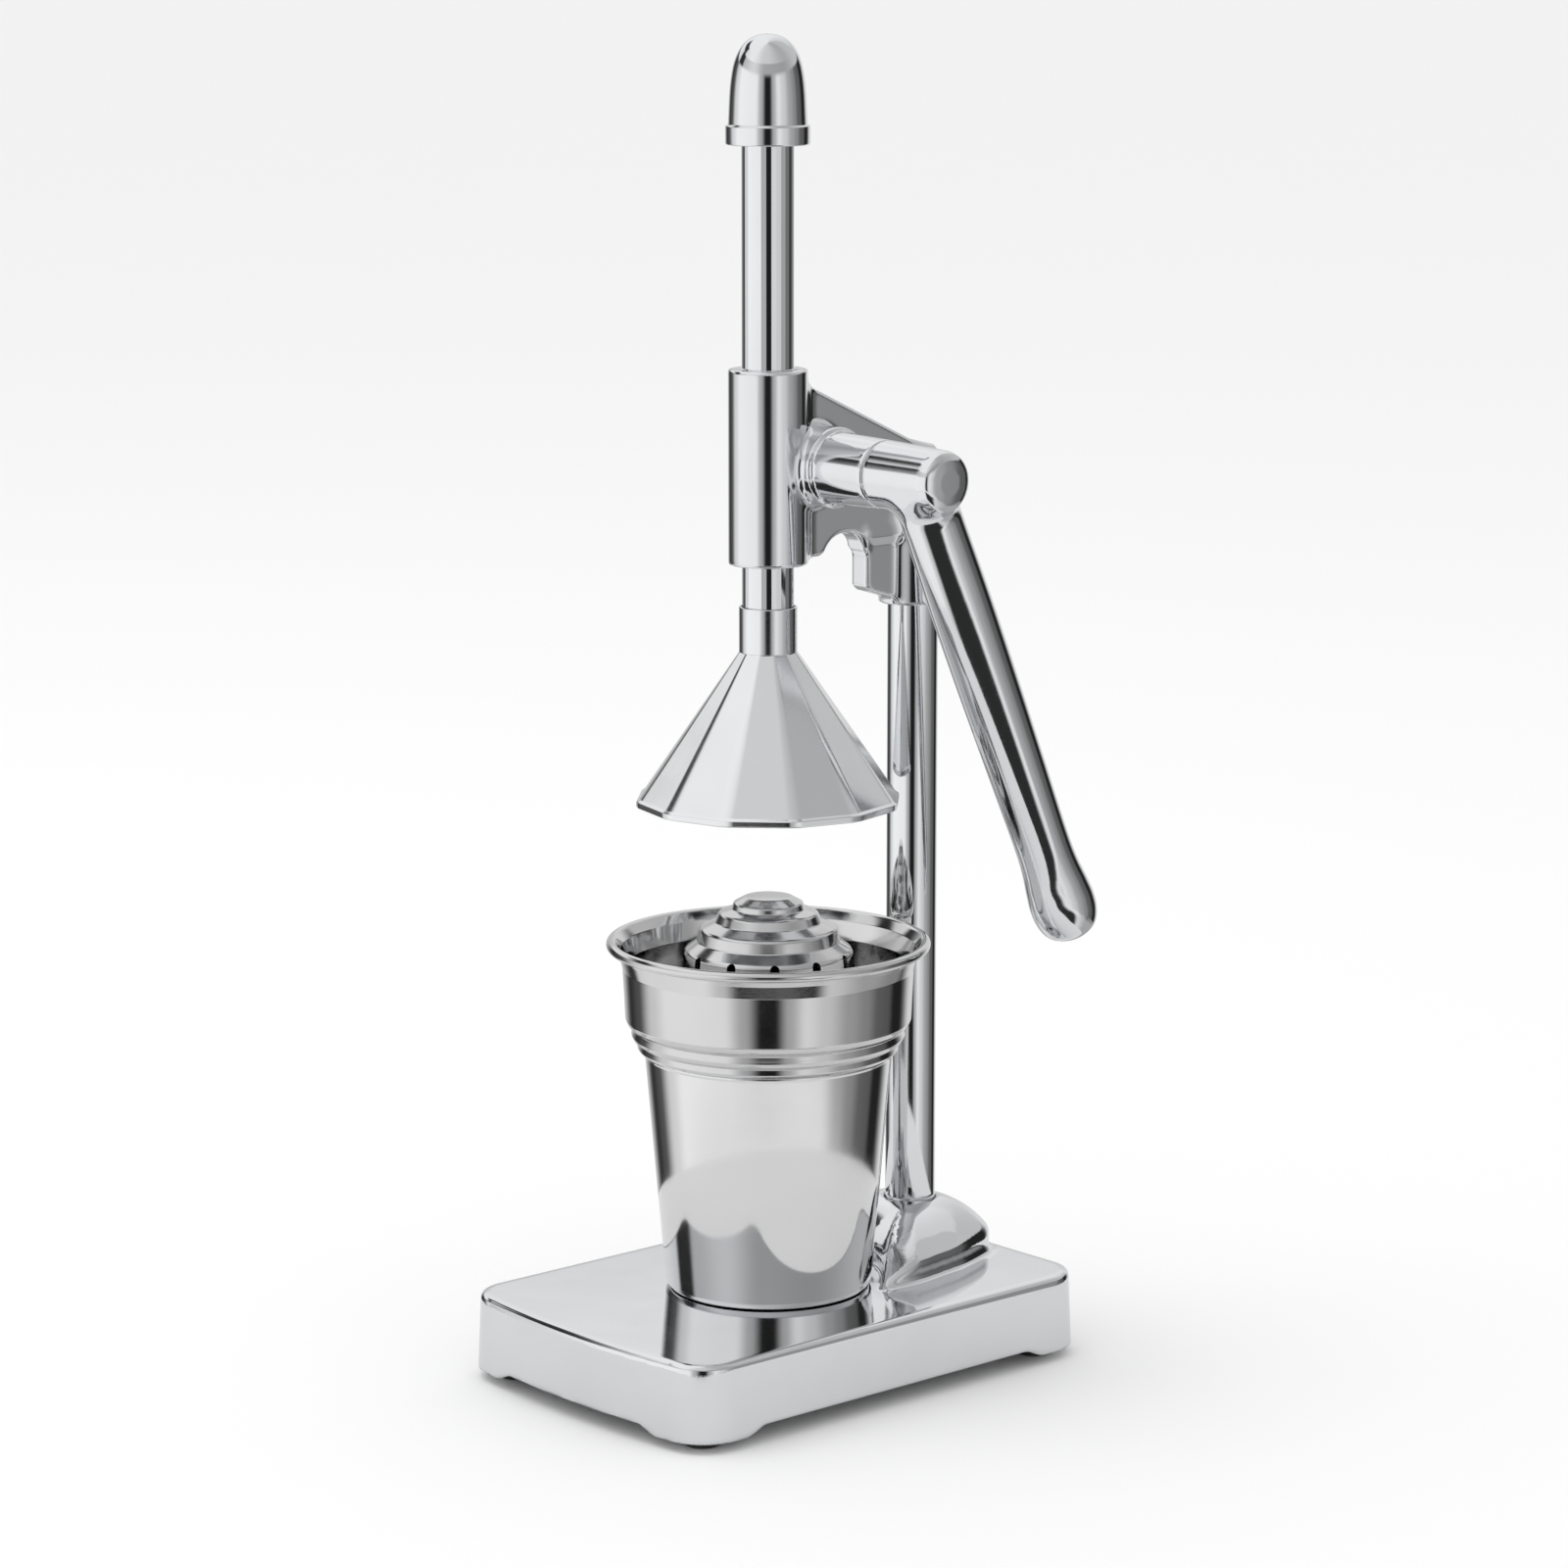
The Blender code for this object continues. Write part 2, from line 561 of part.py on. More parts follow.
# Grub screw that pins the hub to the shaft.
grub = rod("hub_grub_screw", 2.0, SEAT_R + GAP, 10.3, 14, helper=False,
           at=(GRUB_X, SHAFT_Y, SHAFT_Z), turn=from_behind, chamfer=0.25)
grub_key = prism("grub_key", key, 9.0, 14.0, at=(GRUB_X, SHAFT_Y, SHAFT_Z), turn=from_behind)
cut(grub, grub_key)
settle(grub)

# Ram: chromed bar with a rack cut in a slot down its back.
RAM_TOP = 392.0
SPIGOT_R = 5.0
COLLAR_DEEP = 236.0
ram = turned("ram_rack", [(0, RAM_TOP), (6.4, RAM_TOP), (6.4, CAP_LOW + 1.0),
                          (RAM_R, CAP_LOW + 1.0), (RAM_R, COLLAR_DEEP), (SPIGOT_R, COLLAR_DEEP),
                          (SPIGOT_R, 222.0), (0, 222.0)], 32)
SLOT_HALF = 3.95
rack_tip = RACK_LINE + MODULE
rack_root = RACK_LINE - 1.25 * MODULE
RACK_FIRST = -2
RACK_LAST = 11
rack_low = SHAFT_Z + (RACK_FIRST - 0.5) * RACK_PITCH
rack_high = SHAFT_Z + (RACK_LAST + 0.5) * RACK_PITCH
# The tooth spaces of the rack face the pinion's teeth, so a space is centred on the shaft.
rack_cutter = [(12.0, rack_low), (12.0, rack_high), (rack_tip, rack_high)]
BACKLASH = 0.12
half_mouth = SPACE_AT_CREST + BACKLASH
half_floor = SPACE_AT_FLOOR + BACKLASH
for tooth in range(RACK_LAST, RACK_FIRST - 1, -1):
    middle = SHAFT_Z + tooth * RACK_PITCH
    rack_cutter += [(rack_tip, middle + half_mouth), (rack_root, middle + half_floor),
                    (rack_root, middle - half_floor), (rack_tip, middle - half_mouth)]
rack_cutter += [(rack_tip, rack_low)]
rack_form = prism("rack_form", rack_cutter, -SLOT_HALF, SLOT_HALF, turn=PLATE_X)
cut(ram, rack_form)
cone_tap = rod("cone_tap", 2.5, 215.0, 234.0, 16)
cut(ram, cone_tap)
settle(ram)

# Knob on the ram's upper end.
turned("ram_cap", [(0, CAP_TOP), (3.0, CAP_TOP - 0.4), (5.8, CAP_TOP - 1.7),
                   (8.2, CAP_TOP - 4.2), (9.9, CAP_TOP - 7.6), (10.9, CAP_TOP - 11.6),
                   (11.6, CAP_TOP - 17.5), (12.0, CAP_LOW + 7.0), (12.1, CAP_LOW + 6.2),
                   (12.9, CAP_LOW + 5.8), (12.9, CAP_LOW + 0.7), (12.3, CAP_LOW),
                   (RAM_R + GAP, CAP_LOW), (RAM_R + GAP, CAP_LOW + 1.3),
                   (6.4 + GAP, CAP_LOW + 1.3), (6.4 + GAP, RAM_TOP + GAP), (0, RAM_TOP + GAP)],
       28)

# Press cone: a twelve-sided bell with a round collar above and a cupped underside.
def cone_ring(radius, height, roundness, steps=4):
    """A ring between a polygon (roundness 0) and a circle (roundness 1)."""
    ring = []
    total = CONE_SIDES * steps
    for i in range(total):
        angle = 2 * pi * i / total
        within = (i % steps) / steps * 2 * pi / CONE_SIDES
        flat = cos(pi / CONE_SIDES) / cos(within - pi / CONE_SIDES)
        r = radius * (flat + (1 - flat) * roundness)
        ring.append((r * sin(angle), -r * cos(angle), height))
    return ring


cone_rings = [cone_ring(CONE_R - 0.5, CONE_LOW, 0), cone_ring(CONE_R, CONE_LOW + 0.5, 0),
              cone_ring(CONE_R, CONE_LOW + 1.9, 0), cone_ring(CONE_R - 1.1, CONE_LOW + 2.6, 0),
              cone_ring(9.3, CONE_TOP, 0.0), cone_ring(9.0, CONE_TOP + 0.6, 1),
              cone_ring(9.0, COLLAR_TOP - 0.6, 1), cone_ring(8.4, COLLAR_TOP, 1)]
cone = lofted("press_cone", cone_rings)
bell = turned("bell_form", [(0, 209.0), (10.0, 208.4), (15.5, 206.0), (19.5, 202.0),
                            (36.0, CONE_LOW + 4.0), (37.8, CONE_LOW), (38.2, CONE_LOW - 3.0),
                            (0, CONE_LOW - 3.0)], 36, True)
cut(cone, bell)
spigot_bore = rod("spigot_bore", SPIGOT_R + GAP, 221.5, COLLAR_TOP + 3.0, 22)
cut(cone, spigot_bore)
collar_bore = rod("collar_bore", RAM_R + GAP, COLLAR_DEEP - GAP, COLLAR_TOP + 3.0, 34)
cut(cone, collar_bore)
screw_way = turned("screw_way", [(0, 230.0), (2.8, 230.0), (2.8, 211.4), (5.5, 208.6),
                                 (5.5, 200.0), (0, 200.0)], 20, True)
cut(cone, screw_way)
settle(cone, 20)

# Countersunk screw that draws the cone up onto the ram.
cone_screw = turned("cone_screw", [(0, 232.5), (2.2, 232.5), (2.2, 211.6), (4.9, 208.9),
                                   (4.9, 208.3), (0, 208.3)], 20)
cross = prism("cone_screw_slot", [(-0.6, -7.0), (0.6, -7.0), (0.6, 7.0), (-0.6, 7.0)],
              205.0, 209.6)
cut(cone_screw, cross)
settle(cone_screw)

# Juice cup: drawn steel, tapered, with a rolled lip under the bowl's shoulder.
CUP_WALL = 0.8
CUP_FLOOR = BASE_TOP + GAP
cup_outer = [(CUP_R_TOP, CUP_TOP), (CUP_R_TOP + 0.2, CUP_TOP - 0.5), (CUP_R_TOP, CUP_TOP - 1.2)]
for i in range(1, 4):
    t = i / 3
    cup_outer.append((CUP_R_TOP + (CUP_R_LOW - CUP_R_TOP) * t,
                      CUP_TOP - 1.2 + (CUP_FLOOR + 1.6 - CUP_TOP + 1.2) * t))
cup_outer += [(CUP_R_LOW - 0.5, CUP_FLOOR + 0.4), (CUP_R_LOW - 1.8, CUP_FLOOR),
              (CUP_R_LOW - 3.6, CUP_FLOOR), (CUP_R_LOW - 4.8, CUP_FLOOR + 1.0),
              (0, CUP_FLOOR + 1.0)]
cup_inner = [(0, CUP_FLOOR + 1.8), (CUP_R_LOW - 3.0, CUP_FLOOR + 1.8),
             (CUP_R_LOW - 1.0, CUP_FLOOR + 3.4), (CUP_R_TOP - CUP_WALL, CUP_TOP - 2.0),
             (CUP_R_TOP - CUP_WALL, CUP_TOP)]
turned("juice_cup", cup_outer + cup_inner, 40, closed=True)

# Strainer bowl: spun steel, open below, with a rolled rim, straight side, beaded shoulder,
# a ledge for the strainer and a short skirt that stands in the cup's mouth.
ROLL = 1.6
SKIRT_END = 97.0


def rolled_rim(radius, top, count=6):
    """Points round the outside of the bead, from its inner side over the top and under."""
    for i in range(count + 1):
        angle = radians(150 - 330 * i / count)
        yield radius - ROLL + ROLL * cos(angle), top - ROLL + ROLL * sin(angle)


bowl_outer = list(rolled_rim(RIM_R, RIM_TOP))
bowl_outer += [(46.4, RIM_TOP - 5.2), (45.5, RIM_TOP - 9.0), (45.0, 120.6), (44.7, 113.6),
               (44.0, 112.0), (42.3, 110.6), (42.9, 108.6), (42.3, 107.2), (41.0, 106.4),
               (41.0, 104.4), (40.2, CUP_TOP + GAP), (37.2, CUP_TOP + GAP), (36.4, SKIRT_END)]
bowl_inner = [(35.5, SKIRT_END), (36.3, 104.6), (39.8, 105.8), (41.4, 111.6), (43.8, 113.2),
              (44.4, 121.0), (44.6, RIM_TOP - 9.0), (46.0, RIM_TOP - 3.2)]
turned("strainer_bowl", bowl_outer + bowl_inner, 44, closed=True)

# Strainer: a stepped, slotted dome over which the fruit is pressed, and its flange, pierced
# with drains, that rests on the bowl's ledge.
DOME_LOW = 113.4
FLANGE_TOP = 114.6
FLANGE_R = 42.9
dome_outer = [(0, 152.2), (6.2, 152.0), (8.6, 151.2), (10.6, 149.8), (11.2, 148.2),
              (13.6, 147.4), (15.7, 146.4), (16.4, 144.2), (19.2, 143.0), (21.4, 141.4),
              (22.1, 138.2), (24.6, 136.6), (26.3, 134.6), (26.8, 132.0), (28.2, 116.6),
              (28.4, DOME_LOW)]
dome_inner = [(27.2, DOME_LOW), (27.0, 116.0), (25.4, 132.0), (23.8, 134.8), (20.8, 137.0),
              (20.0, 140.4), (15.2, 142.8), (14.4, 145.0), (9.8, 147.0), (9.2, 148.8),
              (7.4, 149.8), (0, 150.8)]
dome = turned("strainer_dome", dome_outer + dome_inner, 40)
SLOT_LOW = -7.5
SLOT_HIGH = 4.1
SLOT_R = 1.5
slot_outline = list(arc(0, SLOT_HIGH - SLOT_R, SLOT_R, 0, 180, 3))
slot_outline += list(arc(0, SLOT_LOW + SLOT_R, SLOT_R, 180, 360, 3))
FIRST_SLOT = 23.0            # bearing of the first slot, in degrees
for i in range(STRAINER_SLOTS):
    facing = Matrix.Rotation(radians(360 * i / STRAINER_SLOTS + FIRST_SLOT), 3, "Z") @ PLATE_X
    slot = prism("dome_slot_%02d" % i, slot_outline, 20.0, 34.0, at=(0, 0, 129.0), turn=facing)
    cut(dome, slot)
settle(dome)
flange = turned("strainer_flange", [(FLANGE_R, FLANGE_TOP), (FLANGE_R, DOME_LOW),
                                    (28.4 + GAP, DOME_LOW), (28.4 + GAP, FLANGE_TOP)],
                40, closed=True)
DRAIN_RING = 35.5
for i in range(STRAINER_SLOTS):
    angle = radians(360 * i / STRAINER_SLOTS)
    drain = rod("drain_%02d" % i, 1.6, 108.0, 120.0, 6,
                at=(DRAIN_RING * cos(angle), DRAIN_RING * sin(angle), 0))
    cut(flange, drain)
settle(flange)

chrome = material("chrome", CHROME, 0.08, 1.0)
looks = {
    "base": material("chromed_casting", CHROME, 0.10, 1.0),
    "head_casting": material("chromed_head", CHROME, 0.10, 1.0),
    "lever": material("chromed_lever", CHROME, 0.08, 1.0),
    "press_cone": material("polished_aluminium", ALUMINIUM, 0.16, 1.0),
    "juice_cup": material("polished_cup_steel", STEEL, 0.12, 1.0),
    "strainer_bowl": material("polished_bowl_steel", STEEL, 0.12, 1.0),
    "strainer_dome": material("strainer_steel", STEEL, 0.18, 1.0),
}
looks["strainer_flange"] = looks["strainer_dome"]
rubber = material("foot_rubber", RUBBER, 0.7, 0.0)
plain_steel = material("plain_steel", STEEL, 0.30, 1.0)
for made in press.objects:
    if made.name.startswith("foot_") and "screw" not in made.name:
        paint(made, rubber)
    elif "screw" in made.name or made.name in ("column_washer", "column_nut", "shaft_washer",
                                               "pinion_shaft", "housing_plug"):
        paint(made, plain_steel)
    else:
        paint(made, looks.get(made.name, chrome))

# Everything moves so that the origin is under the middle of the press, and the moving
# groups hang from empties: the shaft's axis, the ram's axis and the cup's place.
shift = Matrix.Translation(Vector((-CENTRE_X, -CENTRE_Y, 0)) * MM)
bpy.context.view_layer.update()
for made in list(press.objects):
    made.matrix_world = shift @ made.matrix_world
groups = {
    "shaft_axis": (shaft_line, ("lever", "pinion_shaft", "hub_grub_screw", "shaft_washer",
                                "shaft_end_screw")),
    "ram_axis": ((0, 0, SHAFT_Z), ("ram_rack", "ram_cap", "press_cone", "cone_screw")),
    "cup_place": ((0, 0, BASE_TOP), ("juice_cup", "strainer_bowl", "strainer_dome",
                                         "strainer_flange")),
}
for group, (point, names) in groups.items():
    axis = bpy.data.objects.new(group, None)
    press.objects.link(axis)
    axis.matrix_world = shift @ Matrix.Translation(Vector(point) * MM)
    bpy.context.view_layer.update()
    for name in names:
        child = bpy.data.objects[name]
        kept = child.matrix_world.copy()
        child.parent = axis
        child.matrix_parent_inverse = axis.matrix_world.inverted()
        child.matrix_world = kept
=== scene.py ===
"""A hand-lever citrus press in chromed and polished metal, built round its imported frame."""
from math import atan2, cos, pi, radians, sin, tan

import bmesh
import bpy
import numpy as np
from mathutils import Matrix, Vector


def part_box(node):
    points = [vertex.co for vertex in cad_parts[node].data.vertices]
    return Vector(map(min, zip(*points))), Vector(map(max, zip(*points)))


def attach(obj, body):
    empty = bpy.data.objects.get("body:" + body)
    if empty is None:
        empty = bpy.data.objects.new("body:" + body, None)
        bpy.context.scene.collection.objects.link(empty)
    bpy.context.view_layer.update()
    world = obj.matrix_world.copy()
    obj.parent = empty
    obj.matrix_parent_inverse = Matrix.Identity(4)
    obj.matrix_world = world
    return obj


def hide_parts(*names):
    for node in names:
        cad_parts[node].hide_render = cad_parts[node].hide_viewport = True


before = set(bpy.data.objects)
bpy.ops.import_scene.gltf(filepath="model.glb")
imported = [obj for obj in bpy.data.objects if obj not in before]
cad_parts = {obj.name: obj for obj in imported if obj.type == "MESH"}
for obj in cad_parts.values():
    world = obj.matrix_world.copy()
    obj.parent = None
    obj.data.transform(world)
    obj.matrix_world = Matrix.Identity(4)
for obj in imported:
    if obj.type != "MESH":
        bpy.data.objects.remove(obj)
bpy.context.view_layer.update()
MM = 0.001

# Column. A ground steel bar, hard chromed, with a small chamfer on its hidden upper end.
# It stands in the base's boss and is drawn down from below by a nut.


def keep_in_scene(name, mesh):
    """Links a mesh into the scene as an object of that name."""
    made = bpy.data.objects.new(name, mesh)
    bpy.context.scene.collection.objects.link(made)
    return made


def rounded_path(corners, arc_steps=5):
    """A polyline through (radius, height, rounding) corners with each corner turned to an arc."""
    path = []
    count = len(corners)
    for i, (r, z, rounding) in enumerate(corners):
        here = Vector((r, z))
        if rounding == 0 or i in (0, count - 1):
            path.append(here)
            continue
        back = Vector(corners[i - 1][:2]) - here
        ahead = Vector(corners[i + 1][:2]) - here
        opening = back.angle(ahead)
        reach = rounding / tan(opening / 2)
        reach = min(reach, back.length * 0.49, ahead.length * 0.49)
        start = here + back.normalized() * reach
        end = here + ahead.normalized() * reach
        for step in range(arc_steps + 1):
            t = step / arc_steps
            path.append(start * (1 - t) ** 2 + here * 2 * t * (1 - t) + end * t ** 2)
    return path


def eased_path(points, per=6):
    """A smooth curve through (radius, height) points."""
    path = []
    knots = [Vector(p) for p in points]
    knots = [knots[0] * 2 - knots[1]] + knots + [knots[-1] * 2 - knots[-2]]
    for a, b, c, d in zip(knots, knots[1:], knots[2:], knots[3:]):
        for step in range(per):
            t = step / per
            path.append(0.5 * (2 * b + (c - a) * t + (2 * a - 5 * b + 4 * c - d) * t ** 2
                               + (3 * b - a - 3 * c + d) * t ** 3))
    path.append(knots[-2])
    return path


def lathe(name, path, at, steps=144, closed=False):
    """Spins a path of (radius, height) millimetres about the upright axis through at."""
    shape = bmesh.new()
    rings = []
    for r, z in path:
        if abs(r) < 1e-6:
            rings.append([shape.verts.new((0, 0, z * MM))])
            continue
        rings.append([shape.verts.new((r * MM * cos(2 * pi * i / steps),
                                       r * MM * sin(2 * pi * i / steps), z * MM))
                      for i in range(steps)])
    pairs = list(zip(rings, rings[1:]))
    if closed:
        pairs.append((rings[-1], rings[0]))
    for upper, lower in pairs:
        for i in range(steps):
            j = (i + 1) % steps
            if len(upper) == 1:
                shape.faces.new((upper[0], lower[i], lower[j]))
            elif len(lower) == 1:
                shape.faces.new((upper[i], lower[0], upper[j]))
            else:
                shape.faces.new((upper[i], lower[i], lower[j], upper[j]))
    bmesh.ops.recalc_face_normals(shape, faces=shape.faces)
    mesh = bpy.data.meshes.new(name)
    shape.to_mesh(mesh)
    shape.free()
    mesh.transform(Matrix.Translation(at))
    mesh.shade_smooth()
    mesh.set_sharp_from_angle(angle=radians(38))
    return keep_in_scene(name, mesh)


def middle(node):
    """The centre of a node's box."""
    low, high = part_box(node)
    return (low + high) / 2


def metal(name, tint, shade, smooth, worn, grain=(1, 1, 1), grain_scale=900, wave=0.0):
    """Polished metal. Its colour drifts between tint and shade, its roughness between smooth
    and worn along the grain, and wave gives a casting's faint unevenness."""
    made = bpy.data.materials.new(name)
    made.use_nodes = True
    nodes = made.node_tree.nodes
    wires = made.node_tree.links
    shader = nodes["Principled BSDF"]
    shader.inputs["Metallic"].default_value = 1.0
    place = nodes.new("ShaderNodeTexCoord")
    stretch = nodes.new("ShaderNodeMapping")
    stretch.inputs["Scale"].default_value = grain
    wires.new(place.outputs["Object"], stretch.inputs["Vector"])
    lines = nodes.new("ShaderNodeTexNoise")
    lines.inputs["Scale"].default_value = grain_scale
    lines.inputs["Detail"].default_value = 4
    wires.new(stretch.outputs["Vector"], lines.inputs["Vector"])
    smears = nodes.new("ShaderNodeTexNoise")
    smears.inputs["Scale"].default_value = 38
    smears.inputs["Detail"].default_value = 3
    wires.new(place.outputs["Object"], smears.inputs["Vector"])
    both = nodes.new("ShaderNodeMath")
    both.operation = "MULTIPLY"
    wires.new(lines.outputs["Fac"], both.inputs[0])
    wires.new(smears.outputs["Fac"], both.inputs[1])
    rough = nodes.new("ShaderNodeMapRange")
    rough.inputs["From Min"].default_value = 0.12
    rough.inputs["From Max"].default_value = 0.42
    rough.inputs["To Min"].default_value = smooth
    rough.inputs["To Max"].default_value = worn
    wires.new(both.outputs["Value"], rough.inputs["Value"])
    wires.new(rough.outputs["Result"], shader.inputs["Roughness"])
    drift = nodes.new("ShaderNodeMix")
    drift.data_type = "RGBA"
    drift.inputs["A"].default_value = (*tint, 1)
    drift.inputs["B"].default_value = (*shade, 1)
    wires.new(smears.outputs["Fac"], drift.inputs["Factor"])
    wires.new(drift.outputs["Result"], shader.inputs["Base Color"])
    marks = nodes.new("ShaderNodeBump")
    marks.inputs["Strength"].default_value = 0.06
    marks.inputs["Distance"].default_value = 0.00002
    wires.new(lines.outputs["Fac"], marks.inputs["Height"])
    if wave:
        swell = nodes.new("ShaderNodeTexNoise")
        swell.inputs["Scale"].default_value = 55
        swell.inputs["Detail"].default_value = 1
        wires.new(place.outputs["Object"], swell.inputs["Vector"])
        uneven = nodes.new("ShaderNodeBump")
        uneven.inputs["Strength"].default_value = 1.0
        uneven.inputs["Distance"].default_value = wave
        wires.new(swell.outputs["Fac"], uneven.inputs["Height"])
        wires.new(uneven.outputs["Normal"], marks.inputs["Normal"])
    wires.new(marks.outputs["Normal"], shader.inputs["Normal"])
    return made


def finish_with(piece, look):
    """Gives a piece one material in place of any that it had."""
    piece.data.materials.clear()
    piece.data.materials.append(look)


chrome_bar = metal("chrome_bar", (0.82, 0.83, 0.84), (0.76, 0.77, 0.79), 0.035, 0.075,
                   grain=(6, 6, 0.4))
column_low, column_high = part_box("column")
column_middle = middle("column")
column_r = (column_high.x - column_low.x) / 2 / MM
column_axis = Vector((column_middle.x, column_middle.y, 0))
SHOULDER = 20.3
STUD_R = 5.0
column_path = rounded_path([(0, column_high.z / MM, 0), (column_r, column_high.z / MM, 0.8),
                            (column_r, SHOULDER, 0.3), (STUD_R, SHOULDER, 0.2),
                            (STUD_R, column_low.z / MM, 0.5), (0, column_low.z / MM, 0)])
column = lathe("column_bar", column_path, column_axis)
finish_with(column, chrome_bar)
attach(column, "stand")
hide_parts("column")

# Ram. The same bar, with a rack cut in a slot down its back. The bar stays as the frame
# has it, since the rack's teeth are exact there, and only takes the bar's finish.
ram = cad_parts["ram_rack"]
finish_with(ram, chrome_bar)

# Cap. A knob turned from steel bar and chromed, with a domed top over a narrow skirt ring.
# It is bored from below and pressed onto the ram's upper end.
cap_low, cap_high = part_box("ram_cap")
cap_middle = middle("ram_cap")
cap_axis = Vector((cap_middle.x, cap_middle.y, cap_low.z))
CAP_HEIGHT = (cap_high.z - cap_low.z) / MM
CAP_R = (cap_high.x - cap_low.x) / 2 / MM
BAR_BORE = 8.3
TENON_BORE = 6.7
TENON_TOP = 8.5
RECESS_TOP = 1.3
cap_dome = eased_path([(0, CAP_HEIGHT), (3.0, CAP_HEIGHT - 0.4), (5.8, CAP_HEIGHT - 1.7),
                       (8.2, CAP_HEIGHT - 4.2), (9.9, CAP_HEIGHT - 7.6),
                       (10.9, CAP_HEIGHT - 11.6), (11.6, CAP_HEIGHT - 17.5), (12.0, 7.2)])
cap_skirt = rounded_path([(12.0, 7.0, 0), (12.05, 5.9, 0.5), (CAP_R, 5.8, 0.7), (CAP_R, 0, 0.7),
                          (BAR_BORE, 0, 0.4), (BAR_BORE, RECESS_TOP, 0.1),
                          (TENON_BORE, RECESS_TOP, 0.1), (TENON_BORE, TENON_TOP, 0.1),
                          (0, TENON_TOP, 0)])
cap = lathe("ram_cap_knob", cap_dome + cap_skirt, cap_axis)
finish_with(cap, chrome_bar)
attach(cap, "ram")
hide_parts("ram_cap")

# Head. One casting that joins the ram's sleeve, the pinion's housing, the lever shaft's
# barrel and the column's socket, filleted where they meet, then polished and chromed.
PAST_AXIS = -6.0


def outline_distance(u, v, outline):
    """Distance from points (u, v) to a closed outline, negative inside it."""
    nearest = np.full(u.shape, 1e9)
    inside = np.zeros(u.shape, bool)
    for (au, av), (bu, bv) in zip(outline, outline[1:] + outline[:1]):
        eu, ev = bu - au, bv - av
        t = np.clip(((u - au) * eu + (v - av) * ev) / (eu * eu + ev * ev), 0, 1)
        nearest = np.minimum(nearest, (u - au - eu * t) ** 2 + (v - av - ev * t) ** 2)
        if ev:
            inside ^= ((av > v) != (bv > v)) & (u < au + (v - av) * eu / ev)
    return np.where(inside, -1, 1) * np.sqrt(nearest)


def turned_form(spots, corners, at, axis):
    """Field of (radius, along, rounding) corners spun about an axis through at."""
    outline = [(r if r > 0 else PAST_AXIS, z) for r, z in rounded_path(corners)]
    off = spots - np.array(at)
    along = off @ np.array(axis)
    radius = np.sqrt(np.maximum((off ** 2).sum(1) - along ** 2, 0))
    return outline_distance(radius, along, outline)


def plate_form(spots, outline, half, rounding):
    """Field of a plate of that outline in (y, z), with rounded edges."""
    a = outline_distance(spots[:, 1], spots[:, 2], outline) + rounding
    b = np.abs(spots[:, 0]) - half + rounding
    return (np.minimum(np.maximum(a, b), 0) + np.hypot(np.maximum(a, 0), np.maximum(b, 0))
            - rounding)


def blend(a, b, reach):
    """Union of two fields with a fillet."""
    share = np.maximum(reach - np.abs(a - b), 0) / reach
    return np.minimum(a, b) - share * share * reach / 4


def carve(a, b, reach=0.5):
    """The first field with the second taken away, its edge broken by about reach."""
    return -blend(-a, b, reach)


